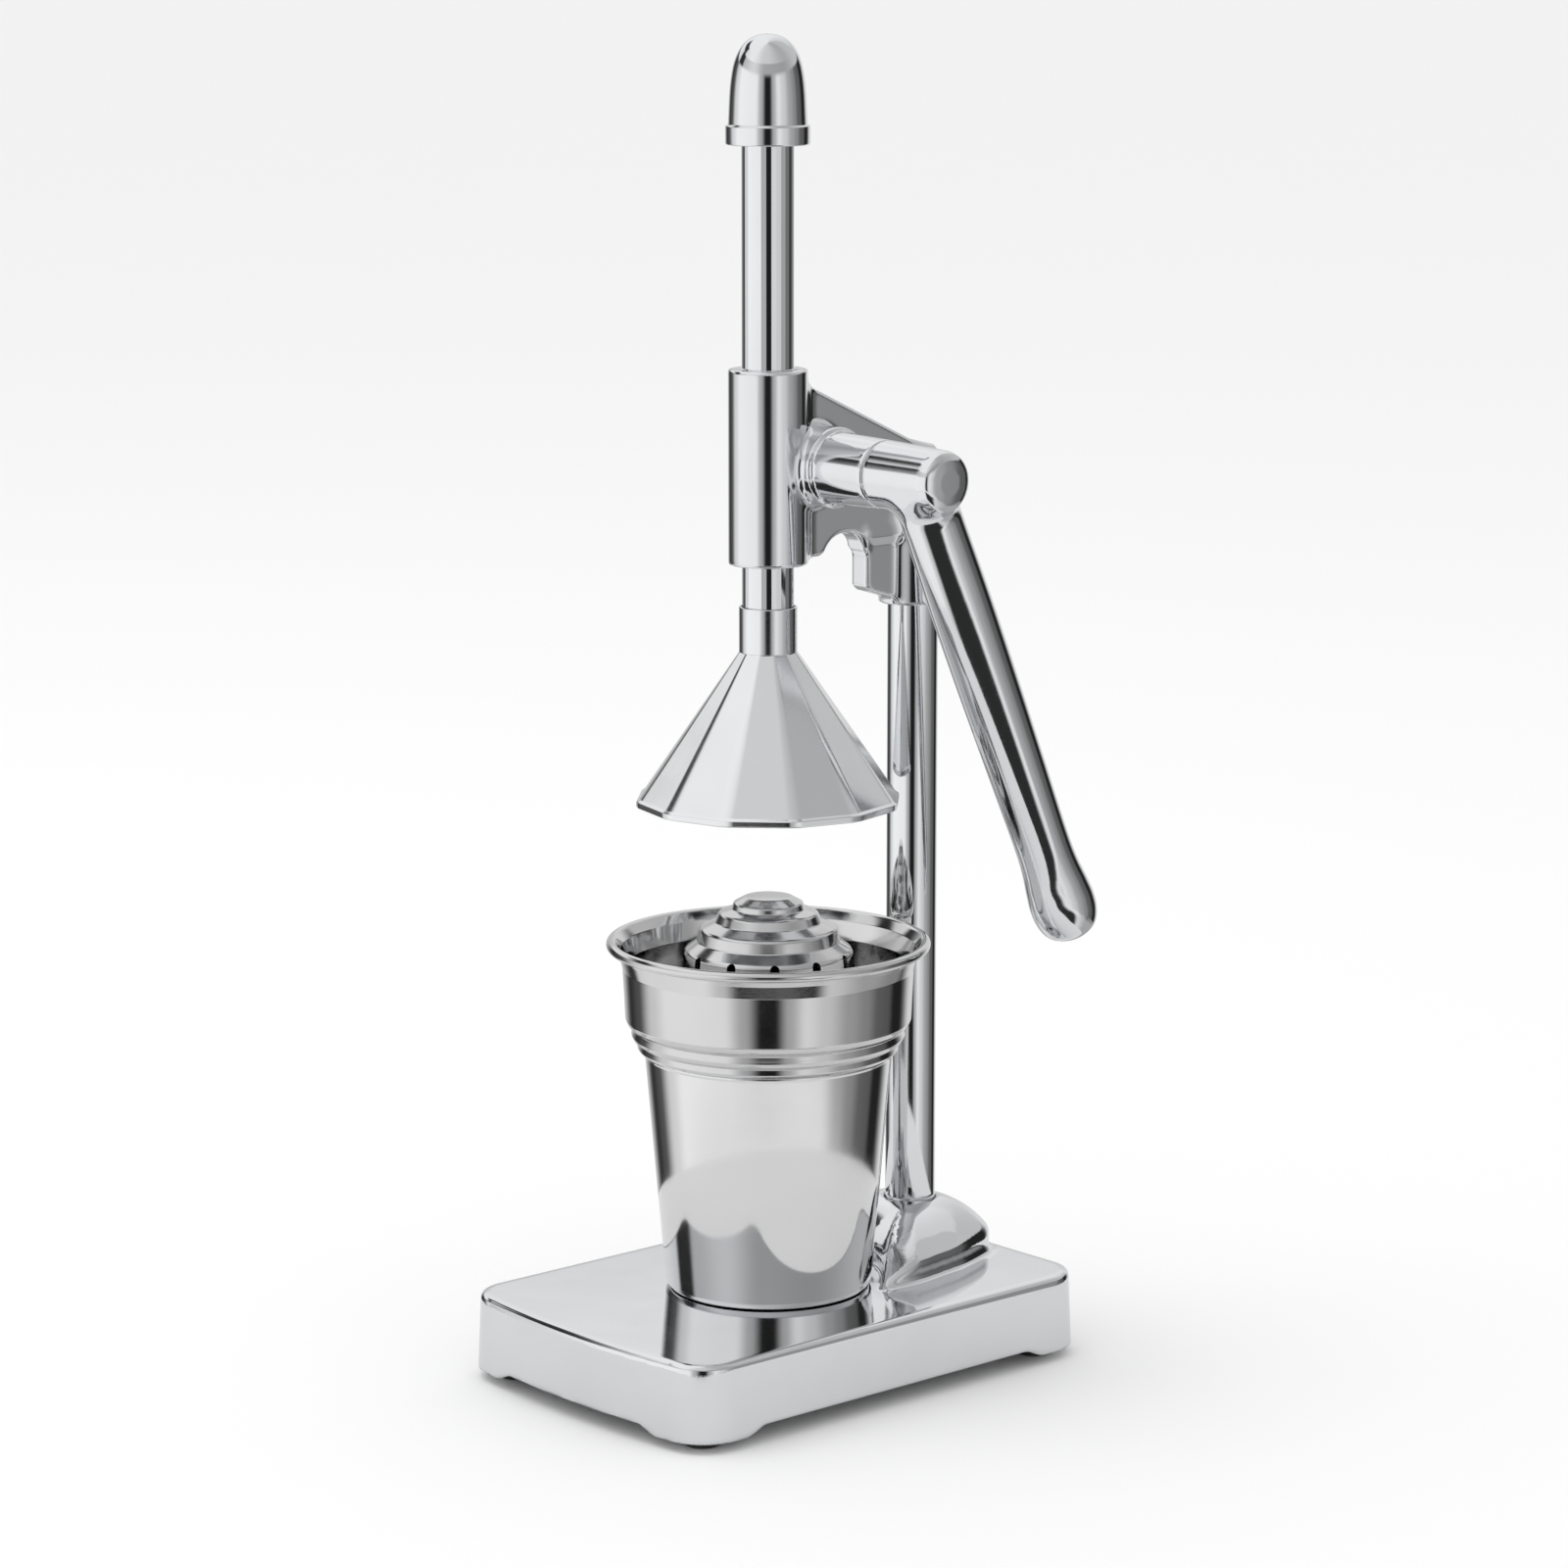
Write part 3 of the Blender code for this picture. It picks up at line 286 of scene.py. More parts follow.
def cast_surface(name, field, low, high, step, origin):
    """The surface where a field is zero, inside a box in millimetres about origin."""
    # Rough values come first, one for each block of cells, and true ones only near the surface.
    low = np.array(low, float)
    block = 4
    near_reach = 1.7 * block * step
    blocks = np.ceil((np.array(high) - low) / (block * step)).astype(int)
    cells = blocks * block
    centres = [low[i] + (np.arange(blocks[i]) + 0.5) * block * step for i in range(3)]
    coarse = field(np.stack(np.meshgrid(*centres, indexing="ij"), -1).reshape(-1, 3))
    coarse = coarse.reshape(blocks)
    spread = coarse
    for axis in range(3):
        spread = np.repeat(spread, block, axis)
    value = np.pad(spread, ((0, 1),) * 3, mode="edge")
    near = np.abs(spread) < near_reach
    wanted = np.zeros(cells + 1, bool)
    for i in (0, 1):
        for j in (0, 1):
            for k in (0, 1):
                wanted[i:cells[0] + i, j:cells[1] + j, k:cells[2] + k] |= near
    index = np.argwhere(wanted)
    value[wanted] = field(low + index * step)
    inside = value < 0

    # Each cell that the surface crosses gets one spot, the mean of its crossed edges.
    count = sum(inside[i:cells[0] + i, j:cells[1] + j, k:cells[2] + k].astype(int)
                for i in (0, 1) for j in (0, 1) for k in (0, 1))
    crossed = (count > 0) & (count < 8) & near
    here = np.argwhere(crossed)
    number = np.full(cells, -1)
    number[crossed] = np.arange(len(here))
    total = np.zeros((len(here), 3))
    hits = np.zeros(len(here))
    corners = [np.array((i, j, k)) for i in (0, 1) for j in (0, 1) for k in (0, 1)]
    for a in corners:
        for b in corners:
            if (b - a).sum() != 1 or (b < a).any():
                continue
            va = value[tuple((here + a).T)]
            vb = value[tuple((here + b).T)]
            hit = (va < 0) != (vb < 0)
            t = np.where(hit, va / np.where(hit, va - vb, 1), 0)
            total += hit[:, None] * (here + a + (b - a) * t[:, None])
            hits += hit
    spots = low + total / np.maximum(hits, 1)[:, None] * step

    # Each grid edge that the surface crosses gets one face, from the four cells round it.
    quads = []
    for a in range(3):
        order = (a, (a + 1) % 3, (a + 2) % 3)
        solid = np.transpose(inside, order)
        numbers = np.transpose(number, order)
        first, second = solid[:-1, 1:-1, 1:-1], solid[1:, 1:-1, 1:-1]
        round_edge = (numbers[:, :-1, :-1], numbers[:, 1:, :-1], numbers[:, 1:, 1:],
                      numbers[:, :-1, 1:])
        quads.append(np.stack([n[first & ~second] for n in round_edge], 1))
        quads.append(np.stack([n[second & ~first] for n in reversed(round_edge)], 1))
    quads = np.concatenate(quads)

    def slope(at):
        reach = 0.02
        rise = [field(at + step_aside) - field(at - step_aside)
                for step_aside in np.eye(3) * reach]
        return np.stack(rise, 1) / (2 * reach)

    ends = np.concatenate([quads[:, [i, (i + 1) % 4]] for i in range(4)])
    ends = np.concatenate([ends, ends[:, ::-1]])
    neighbours = np.maximum(np.bincount(ends[:, 0], minlength=len(spots)), 1)[:, None]

    def averaged(values):
        return np.stack([np.bincount(ends[:, 0], weights=values[ends[:, 1], i],
                                     minlength=len(spots)) for i in range(3)], 1) / neighbours

    # The spots settle onto the surface and spread evenly along it.
    least_slope = 0.3
    for settling in range(3):
        steepness = slope(spots)
        length = np.maximum((steepness ** 2).sum(1), least_slope)
        spots = spots - steepness * (field(spots) / length)[:, None]
        if settling < 2:
            normal = steepness / np.sqrt(length)[:, None]
            pull = averaged(spots) - spots
            pull -= normal * (pull * normal).sum(1)[:, None]
            spots = spots + 0.5 * pull
    normals = slope(spots)
    for smoothing in range(2):
        normals = normals + averaged(normals)
        normals /= np.maximum(np.linalg.norm(normals, axis=1), 1e-6)[:, None]
    mesh = bpy.data.meshes.new(name)
    mesh.from_pydata((spots * MM + np.array(origin)).tolist(), [], quads.tolist())
    mesh.shade_smooth()
    mesh.normals_split_custom_set_from_vertices(normals.tolist())
    return keep_in_scene(name, mesh)


casting = metal("chromed_casting", (0.80, 0.81, 0.82), (0.74, 0.75, 0.77), 0.05, 0.10,
                wave=0.00003)
ram_axis = Vector((cap_middle.x, cap_middle.y, 0))
column_y = (column_axis.y - ram_axis.y) / MM
shaft_middle = middle("pinion_shaft")
shaft_y = (shaft_middle.y - ram_axis.y) / MM
shaft_z = shaft_middle.z / MM
head_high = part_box("head_casting")[1]
SEAM = (head_high.x - ram_axis.x) / MM
SLEEVE_TOP = head_high.z / MM
SLEEVE_LOW = 256.0
SLEEVE_R = 12.2
SOCKET_LOW = 238.5
SOCKET_R = 10.9
WEB_TOP = 312.0
WEB_BACK = column_y + 8.5
WEB_HALF = 4.3
FIN_LOW = 240.2
FIN_HALF = 3.7
HOUSING_R = 15.2
HOUSING_END = -13.0
HOUSING_BORE = 12.75
BARREL_R = 12.5
SHAFT_BORE = 7.3
SET_SCREW_Z = 252.0
SET_SCREW_BORE = 2.6


def arc(cy, cz, radius, start, end, count=14):
    """Points on an arc, angles in degrees."""
    return [(cy + radius * cos(radians(start + (end - start) * i / count)),
             cz + radius * sin(radians(start + (end - start) * i / count)))
            for i in range(count + 1)]


def head_field(spots):
    """The head's forms joined by fillets, less the bores for the bars, shaft and set screw."""
    up = (0, 0, 1)
    across = (1, 0, 0)
    shaft_line = (0, shaft_y, shaft_z)
    sleeve = turned_form(spots, [(0, SLEEVE_TOP, 0), (SLEEVE_R, SLEEVE_TOP, 0.9),
                                 (SLEEVE_R, SLEEVE_LOW, 0.9), (0, SLEEVE_LOW, 0)], (0, 0, 0), up)
    web_outline = [(4.0, 257.0), (18.1, 257.0)] + arc(28.5, 254.0, 9.4, 155, 25)
    web_outline += [(37.9, 260.5), (WEB_BACK, 260.5), (WEB_BACK, 284.0),
                    (WEB_BACK - 3.0, 288.0), (56.0, 290.8), (10.0, WEB_TOP), (4.0, WEB_TOP)]
    web = plate_form(spots, web_outline, WEB_HALF, 1.6)
    fin_outline = [(37.9, 263.0), (37.9, 245.5), (39.5, 244.0), (column_y - 9.0, FIN_LOW),
                   (column_y, FIN_LOW), (column_y, 263.0)]
    fin = plate_form(spots, fin_outline, FIN_HALF, 0.8)
    socket = turned_form(spots, [(0, 286.6, 0), (5.0, 286.0, 1.5), (8.9, 283.4, 1.2),
                                 (SOCKET_R, 280.0, 2.0), (SOCKET_R, SOCKET_LOW, 0.8),
                                 (0, SOCKET_LOW, 0)], (0, column_y, 0), up)
    barrel = turned_form(spots, [(0, SEAM, 0), (10.5, SEAM, 0.6), (11.2, 16.3, 0.3),
                                 (BARREL_R, 16.3, 0.7), (BARREL_R, 0, 0), (0, 0, 0)],
                         shaft_line, across)
    housing = turned_form(spots, [(0, 1.0, 0), (HOUSING_R, 1.0, 0.6), (HOUSING_R, HOUSING_END, 1.0),
                                  (0, HOUSING_END, 0)], shaft_line, across)
    solid = blend(sleeve, web, 5.0)
    solid = blend(solid, blend(socket, fin, 2.5), 4.0)
    solid = blend(solid, housing, 2.0)
    solid = blend(solid, barrel, 3.0)
    solid = carve(solid, np.hypot(spots[:, 0], spots[:, 1]) - BAR_BORE, 0.8)
    off_shaft = np.hypot(spots[:, 1] - shaft_y, spots[:, 2] - shaft_z)
    solid = carve(solid, np.maximum(off_shaft - HOUSING_BORE, spots[:, 0] - 4.1))
    solid = carve(solid, np.maximum(off_shaft - SHAFT_BORE, 1.0 - spots[:, 0]))
    off_column = np.hypot(spots[:, 0], spots[:, 1] - column_y)
    solid = carve(solid, np.maximum(off_column - BAR_BORE, spots[:, 2] - column_high.z / MM - 0.3))
    off_screw = np.hypot(spots[:, 0], spots[:, 2] - SET_SCREW_Z)
    return carve(solid, np.maximum(off_screw - SET_SCREW_BORE, column_y + 3.0 - spots[:, 1]))


head = cast_surface("head_cast", head_field, (-17.0, -14.5, 236.5),
                    (SEAM + 1.5, column_y + 13.5, SLEEVE_TOP + 2.0), 0.75, ram_axis)
finish_with(head, casting)
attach(head, "stand")
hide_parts("head_casting")

# Lever. Hub and arm in one casting with a rounded knob at its end, polished and chromed.
# The hub slides on the shaft's end and is pinned there from behind.
HUB_FACE = (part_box("lever")[1].x - ram_axis.x) / MM
HUB_BACK = SEAM + 0.35
HUB_BORE = 6.3
SHAFT_END = (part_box("pinion_shaft")[1].x - ram_axis.x) / MM
PIN_X = 44.0
PIN_BORE = 2.3
ARM_X = 51.5
ARM_TILT = radians(24.4)
arm_down = (0.0, sin(ARM_TILT), -cos(ARM_TILT))
ARM_LENGTH = 164.0
arm_side = [(5.5, -1.0), (8.4, 5.0), (9.25, 11.0), (9.4, 20.0), (9.7, 45.0), (9.5, 75.0),
            (9.1, 105.0), (8.75, 128.0), (9.0, 138.0), (9.9, 146.0), (10.4, 151.5),
            (10.1, 156.5), (8.6, 160.8), (5.6, 163.3), (2.8, ARM_LENGTH - 0.1), (0, ARM_LENGTH)]
arm_outline = [(PAST_AXIS, -1.0)] + [tuple(p) for p in eased_path(arm_side, 5)]
arm_outline[-1] = (PAST_AXIS, ARM_LENGTH)


def lever_field(spots):
    """Hub and arm joined by a fillet, less the shaft's bore and the hole of the pin."""
    hub = turned_form(spots, [(0, HUB_FACE, 0), (4.0, HUB_FACE - 0.2, 1.0),
                              (7.0, HUB_FACE - 0.7, 1.0), (8.9, HUB_FACE - 1.6, 0.8),
                              (9.6, HUB_FACE - 4.0, 1.0), (10.5, HUB_BACK, 0.6),
                              (0, HUB_BACK, 0)], (0, shaft_y, shaft_z), (1, 0, 0))
    off = spots - np.array((ARM_X, shaft_y, shaft_z))
    along = off @ np.array(arm_down)
    radius = np.sqrt(np.maximum((off ** 2).sum(1) - along ** 2, 0))
    solid = blend(hub, outline_distance(radius, along, arm_outline), 5.0)
    bore = np.hypot(spots[:, 1] - shaft_y, spots[:, 2] - shaft_z) - HUB_BORE
    solid = carve(solid, np.maximum(bore, spots[:, 0] - SHAFT_END - 0.5))
    behind = off - np.array((PIN_X - ARM_X, 0, 0))
    back = behind @ np.array((0, cos(ARM_TILT), sin(ARM_TILT)))
    pin = np.sqrt(np.maximum((behind ** 2).sum(1) - back ** 2, 0)) - PIN_BORE
    return carve(solid, np.maximum(pin, 4.0 - back))


lever = cast_surface("lever_cast", lever_field, (SEAM - 1.0, shaft_y - 12.5, 120.5),
                     (HUB_FACE + 1.5, shaft_y + 81.0, shaft_z + 12.5), 0.8, ram_axis)
finish_with(lever, casting)
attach(lever, "lever_and_shaft")
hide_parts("lever")

# Press cone. Cast aluminium, ground into twelve flats under a round collar, cupped below so
# that it grips the fruit. A countersunk screw draws it up onto the ram's end.
cone_low, cone_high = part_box("press_cone")
CONE_SIDES = 12
CONE_STEPS = 16
CORNER_EASE = 0.012
CORNER_POWER = 24
CONE_LOW = cone_low.z / MM
CONE_HIGH = cone_high.z / MM
CONE_R = (cone_high.y - cone_low.y) / 2 / MM
COLLAR_R = 9.0
COLLAR_LOW = CONE_LOW + 47.7
FLATS_TOP = CONE_LOW + 47.65
LIP_R = 37.8
SCREW_BORE = 2.8
SPIGOT_BORE = 5.3
SPIGOT_LOW = 222.0
BAR_LOW = 235.7


def cone_ring(radius, height, flatted):
    """A ring of the cone: a circle, or if flatted a twelve-sided outline with eased corners."""
    ring = []
    half_side = pi / CONE_SIDES
    for i in range(CONE_SIDES * CONE_STEPS):
        angle = 2 * pi * i / (CONE_SIDES * CONE_STEPS)
        r = radius
        if flatted:
            from_middle = (angle % (2 * half_side)) - half_side
            flat = cos(half_side) / cos(from_middle)
            r *= flat - CORNER_EASE * (abs(from_middle) / half_side) ** CORNER_POWER
        ring.append((r * sin(angle), -r * cos(angle), height))
    return ring


cone_outer = rounded_path([(BAR_BORE, CONE_HIGH, 0), (COLLAR_R, CONE_HIGH, 0.5),
                           (COLLAR_R, COLLAR_LOW, 0.8), (9.4, CONE_LOW + 47.2, 0.2),
                           (CONE_R - 1.1, CONE_LOW + 2.6, 0.5), (CONE_R, CONE_LOW + 1.9, 0.5),
                           (CONE_R, CONE_LOW, 0.5), (LIP_R, CONE_LOW, 0)], 6)
cone_inner = rounded_path([(LIP_R, CONE_LOW, 0), (36.0, CONE_LOW + 4.0, 1.0),
                           (19.5, 202.0, 4.0), (10.0, 208.4, 4.0), (5.5, 208.7, 0),
                           (SCREW_BORE, 211.4, 0), (SCREW_BORE, SPIGOT_LOW, 0),
                           (SPIGOT_BORE, SPIGOT_LOW, 0), (SPIGOT_BORE, BAR_LOW, 0),
                           (BAR_BORE, BAR_LOW, 0), (BAR_BORE, CONE_HIGH, 0)], 6)[1:-1]
cone_shape = bmesh.new()
cone_rings = [cone_ring(r, z, z <= FLATS_TOP) for r, z in cone_outer]
cone_rings += [cone_ring(r, z, False) for r, z in cone_inner]
cone_rows = [[cone_shape.verts.new(Vector(p) * MM) for p in ring] for ring in cone_rings]
for upper, lower in zip(cone_rows, cone_rows[1:] + cone_rows[:1]):
    for i in range(len(upper)):
        j = (i + 1) % len(upper)
        cone_shape.faces.new((upper[i], upper[j], lower[j], lower[i]))
bmesh.ops.recalc_face_normals(cone_shape, faces=cone_shape.faces)
cone_mesh = bpy.data.meshes.new("cone_ground")
cone_shape.to_mesh(cone_mesh)
cone_shape.free()
cone_mesh.transform(Matrix.Translation(ram_axis))
cone_mesh.shade_smooth()
cone_mesh.set_sharp_from_angle(angle=radians(35))
cone = keep_in_scene("cone_ground", cone_mesh)
finish_with(cone, metal("polished_aluminium", (0.84, 0.85, 0.86), (0.78, 0.79, 0.80), 0.10, 0.20,
                        grain=(1, 1, 5)))
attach(cone, "ram")
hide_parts("press_cone")

# Strainer. One pressing in steel: a stepped dome with twelve slots, and a flange with drains
# that lies on the bowl's ledge.
flange_low, flange_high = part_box("strainer_flange")
FLANGE_R = (flange_high.x - ram_axis.x) / MM
strainer_low = flange_low.z / MM
strainer_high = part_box("strainer_dome")[1].z / MM
strainer_path = rounded_path(
    [(0, strainer_high, 0), (7.4, strainer_high - 0.3, 2.0), (10.9, strainer_high - 2.2, 1.2),
     (11.3, strainer_high - 4.2, 0.6), (15.4, strainer_high - 5.2, 1.6),
     (16.6, strainer_high - 8.2, 0.8), (21.3, strainer_high - 10.2, 1.8),
     (22.2, strainer_high - 14.2, 0.8), (26.3, strainer_high - 17.2, 2.4),
     (28.2, strainer_low + 3.2, 0.5), (28.6, strainer_low + 1.2, 0.6),
     (FLANGE_R, strainer_low + 1.2, 0.4), (FLANGE_R, strainer_low, 0.4),
     (27.4, strainer_low, 0.5), (27.0, strainer_low + 2.6, 0.5), (25.2, strainer_high - 18.6, 2.0),
     (21.0, strainer_high - 15.2, 0.8), (20.2, strainer_high - 11.0, 1.5),
     (15.4, strainer_high - 9.2, 0.8), (14.4, strainer_high - 6.4, 1.2),
     (10.1, strainer_high - 5.3, 0.6), (9.6, strainer_high - 3.0, 1.0),
     (7.0, strainer_high - 1.5, 1.4), (0, strainer_high - 1.4, 0)], 7)
strainer = lathe("strainer_pressed", strainer_path, ram_axis)
slots = bmesh.new()
SLOTS = 12
FIRST_SLOT = radians(23.0)
SLOT_Z = 128.5
SLOT_HALF = 5.5
SLOT_R = 1.5
DRAIN_OUT = 35.5
DRAIN_HALF = 0.01
DRAIN_R = 1.6


def pierce(centre, turn, half_height, radius, depth, sides=20):
    """Adds a round-ended cutter to slots, its length upright before turn."""
    outline = []
    for i in range(sides):
        angle = 2 * pi * (i + 0.5) / sides
        lift = half_height if sin(angle) > 0 else -half_height
        outline.append((radius * cos(angle), lift + radius * sin(angle)))
    ends = []
    for reach in (-depth, depth):
        ends.append([slots.verts.new((centre + turn @ Vector((reach, u, v))) * MM)
                     for u, v in outline])
    for i in range(sides):
        j = (i + 1) % sides
        slots.faces.new((ends[0][i], ends[0][j], ends[1][j], ends[1][i]))
    slots.faces.new(list(reversed(ends[0])))
    slots.faces.new(ends[1])


axis_mm = ram_axis / MM
for i in range(SLOTS):
    facing = Matrix.Rotation(2 * pi * i / SLOTS + FIRST_SLOT, 3, "Z")
    pierce(axis_mm + facing @ Vector((27.0, 0, SLOT_Z)), facing, SLOT_HALF, SLOT_R, 7.0)
    drain_turn = Matrix.Rotation(2 * pi * i / SLOTS, 3, "Z")
    pierce(axis_mm + drain_turn @ Vector((DRAIN_OUT, 0, strainer_low)),
           drain_turn @ Matrix.Rotation(radians(90), 3, "Y"), DRAIN_HALF, DRAIN_R, 5.0)
bmesh.ops.recalc_face_normals(slots, faces=slots.faces)
slots_mesh = bpy.data.meshes.new("strainer_slots")
slots.to_mesh(slots_mesh)
slots.free()
slots_cutter = keep_in_scene("strainer_slots", slots_mesh)
piercing = strainer.modifiers.new("piercing", "BOOLEAN")
piercing.operation = "DIFFERENCE"
piercing.solver = "EXACT"
piercing.object = slots_cutter
bpy.context.view_layer.update()
pierced = bpy.data.meshes.new_from_object(
    strainer.evaluated_get(bpy.context.evaluated_depsgraph_get()))
strainer.modifiers.clear()
strainer.data = pierced
pierced.shade_smooth()
pierced.set_sharp_from_angle(angle=radians(38))
bpy.data.objects.remove(slots_cutter)
finish_with(strainer, metal("strainer_steel", (0.70, 0.70, 0.70), (0.60, 0.60, 0.61), 0.10, 0.18,
                            grain=(1, 1, 7)))
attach(strainer, "cup_and_strainer")
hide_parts("strainer_dome", "strainer_flange")

# Bowl. Spun steel with a rolled rim, a straight side, a beaded shoulder, a ledge for the
# strainer and a skirt that stands in the cup's mouth.
bowl_box_low, bowl_box_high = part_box("strainer_bowl")
BOWL_R = (bowl_box_high.x - bowl_box_low.x) / 2 / MM
bowl_low = bowl_box_low.z / MM
bowl_high = bowl_box_high.z / MM
LEDGE_UNDER = 103.35
ROLL = 1.6
rim = [(BOWL_R - ROLL + ROLL * cos(radians(150 - 330 * i / 24)),
        bowl_high - ROLL + ROLL * sin(radians(150 - 330 * i / 24))) for i in range(25)]
bowl_side = rounded_path([(rim[-1][0], rim[-1][1], 0), (46.4, bowl_high - 5.2, 1.4),
                          (45.5, bowl_high - 9.0, 2.0), (45.0, 120.6, 3.0), (44.7, 113.6, 2.0),
                          (44.0, 112.0, 1.0), (42.3, 110.6, 0.6), (42.9, 108.6, 1.0),
                          (42.3, 107.2, 0.6), (41.0, 106.4, 0.4), (41.0, 104.4, 0.8),
                          (40.2, LEDGE_UNDER, 0.4), (37.2, LEDGE_UNDER, 0.4),
                          (36.4, bowl_low, 0.2), (35.5, bowl_low, 0.2), (36.3, 104.6, 1.2),
                          (39.8, 105.8, 1.0), (41.4, 111.6, 1.2), (43.8, 113.2, 0.8), (44.4, 121.0, 2.0),
                          (44.6, bowl_high - 9.0, 2.0), (46.0, bowl_high - 3.2, 1.0),
                          (rim[0][0], rim[0][1], 0)], 6)
bowl = lathe("bowl_spun", rim + bowl_side[1:-1], ram_axis, closed=True)
finish_with(bowl, metal("spun_steel", (0.72, 0.72, 0.72), (0.62, 0.62, 0.62), 0.05, 0.11,
                        grain=(1, 1, 9)))
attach(bowl, "cup_and_strainer")
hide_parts("strainer_bowl")

# Juice cup. Drawn steel, tapered, with a rolled lip under the bowl's shoulder and a small
# foot ring pressed in its floor; its side is buffed nearly to a mirror.
cup_low, cup_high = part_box("juice_cup")
CUP_FOOT = cup_low.z / MM
CUP_LIP = cup_high.z / MM
CUP_R = (cup_high.x - cup_low.x) / 2 / MM
CUP_R_LOW = 32.4
cup_path = rounded_path([(0, CUP_FOOT + 1.8, 0), (CUP_R_LOW - 2.6, CUP_FOOT + 1.8, 1.8),
                         (CUP_R_LOW - 0.9, CUP_FOOT + 4.4, 1.2), (CUP_R - 1.0, CUP_LIP - 2.0, 0.8),
                         (CUP_R - 0.9, CUP_LIP, 0.35), (CUP_R - 0.1, CUP_LIP, 0.35),
                         (CUP_R, CUP_LIP - 0.6, 0.35), (CUP_R - 0.2, CUP_LIP - 1.3, 0.3),
                         (CUP_R_LOW, CUP_FOOT + 1.7, 1.4), (CUP_R_LOW - 0.9, CUP_FOOT, 0.8),
                         (CUP_R_LOW - 3.6, CUP_FOOT, 0.7), (CUP_R_LOW - 4.8, CUP_FOOT + 1.0, 0.6),
                         (0, CUP_FOOT + 1.0, 0)], 6)
cup = lathe("cup_drawn", cup_path, ram_axis)
finish_with(cup, metal("drawn_steel", (0.78, 0.78, 0.78), (0.72, 0.72, 0.73), 0.05, 0.11,
                       grain=(9, 9, 1)))
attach(cup, "cup_and_strainer")
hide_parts("juice_cup")

# Base. One casting, polished and chromed: a hollow rounded plate whose skirt stands on four
# corner legs, and a scooped hood that rises round the column's foot.
base_low, base_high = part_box("base")
base_middle = middle("base")
BASE_HALF = (base_high.x - base_low.x) / 2 / MM
LEG_EDGE = base_low.z / MM + 1.9
HOOD_TOP = base_high.z / MM
BOW = 3.0
base_x = (base_middle.x - ram_axis.x) / MM
base_front = (base_low.y - ram_axis.y) / MM + BOW
base_rear = (base_high.y - ram_axis.y) / MM
CORNER = 15.0
DRAFT = 1.2
PLATE_TOP = 27.4
EDGE = 1.7
WALL = 5.2
HOLLOW_TOP = 22.4
COVE_R = 20.0
COVE_LOW = 8.0
COVE_TOP = 34.0
BOSS_R = 12.5
BOSS_LOW = 14.0
BOSS_TOP = 38.0
COLUMN_SEAT = 20.0
STUD_BORE = 5.3
STUD_BORE_TOP = 25.0
SKIRT_LIFT = 2.6
PAD_R = 7.5
PAD_LOW = 3.8
PAD_TOP = 24.4
PAD_BORE = 1.9
PAD_BORE_TOP = 15.0
SCOOP_R = 36.4
hood_right = [(31.0, 22.0), (32.0, 26.0), (32.6, 31.6), (31.9, 39.0), (30.8, 45.7), (28.6, 57.1),
              (23.9, 70.0), (20.4, 76.5), (15.6, 80.6), (8.5, 82.6)]
scoop = [(SCOOP_R * sin(radians(a)), SCOOP_R * cos(radians(a)))
         for a in np.linspace(-57.5, 57.5, 30)]
hood_side = [tuple(p) for p in eased_path(hood_right, 5)]
hood_plan = ([(-x, y) for x, y in reversed(hood_side)][:-1] + scoop[1:-1] + hood_side
             + [(0.0, 83.0)])
hood_bearings = np.array([atan2(x, y - column_y) for x, y in hood_plan])
hood_reaches = np.array([np.hypot(x, y - column_y) for x, y in hood_plan])
hood_order = np.argsort(hood_bearings)
hood_bearings, hood_reaches = hood_bearings[hood_order], hood_reaches[hood_order]


def arched(along, low, high, run=9.0):
    """0 outside low..high, 1 well inside, with eased ends."""
    t = np.clip(np.minimum(along - low, high - along) / run, 0, 1)
    return (1 - np.cos(pi * t)) / 2


def plan_distance(x, y, inset):
    """Distance to the base's bowed and rounded outline, moved inwards by inset."""
    reach = BASE_HALF - CORNER
    bow = BOW * np.maximum(1 - (x / reach) ** 2, 0) * np.clip((-20 - y) / 40, 0, 1)
    y = y + bow
    half_x = BASE_HALF - inset - CORNER
    half_y = (base_rear - base_front) / 2 - inset - CORNER
    qx = np.abs(x) - half_x
    qy = np.abs(y - (base_rear + base_front) / 2) - half_y
    outside = np.hypot(np.maximum(qx, 0), np.maximum(qy, 0))
    return outside + np.minimum(np.maximum(qx, qy), 0) - CORNER


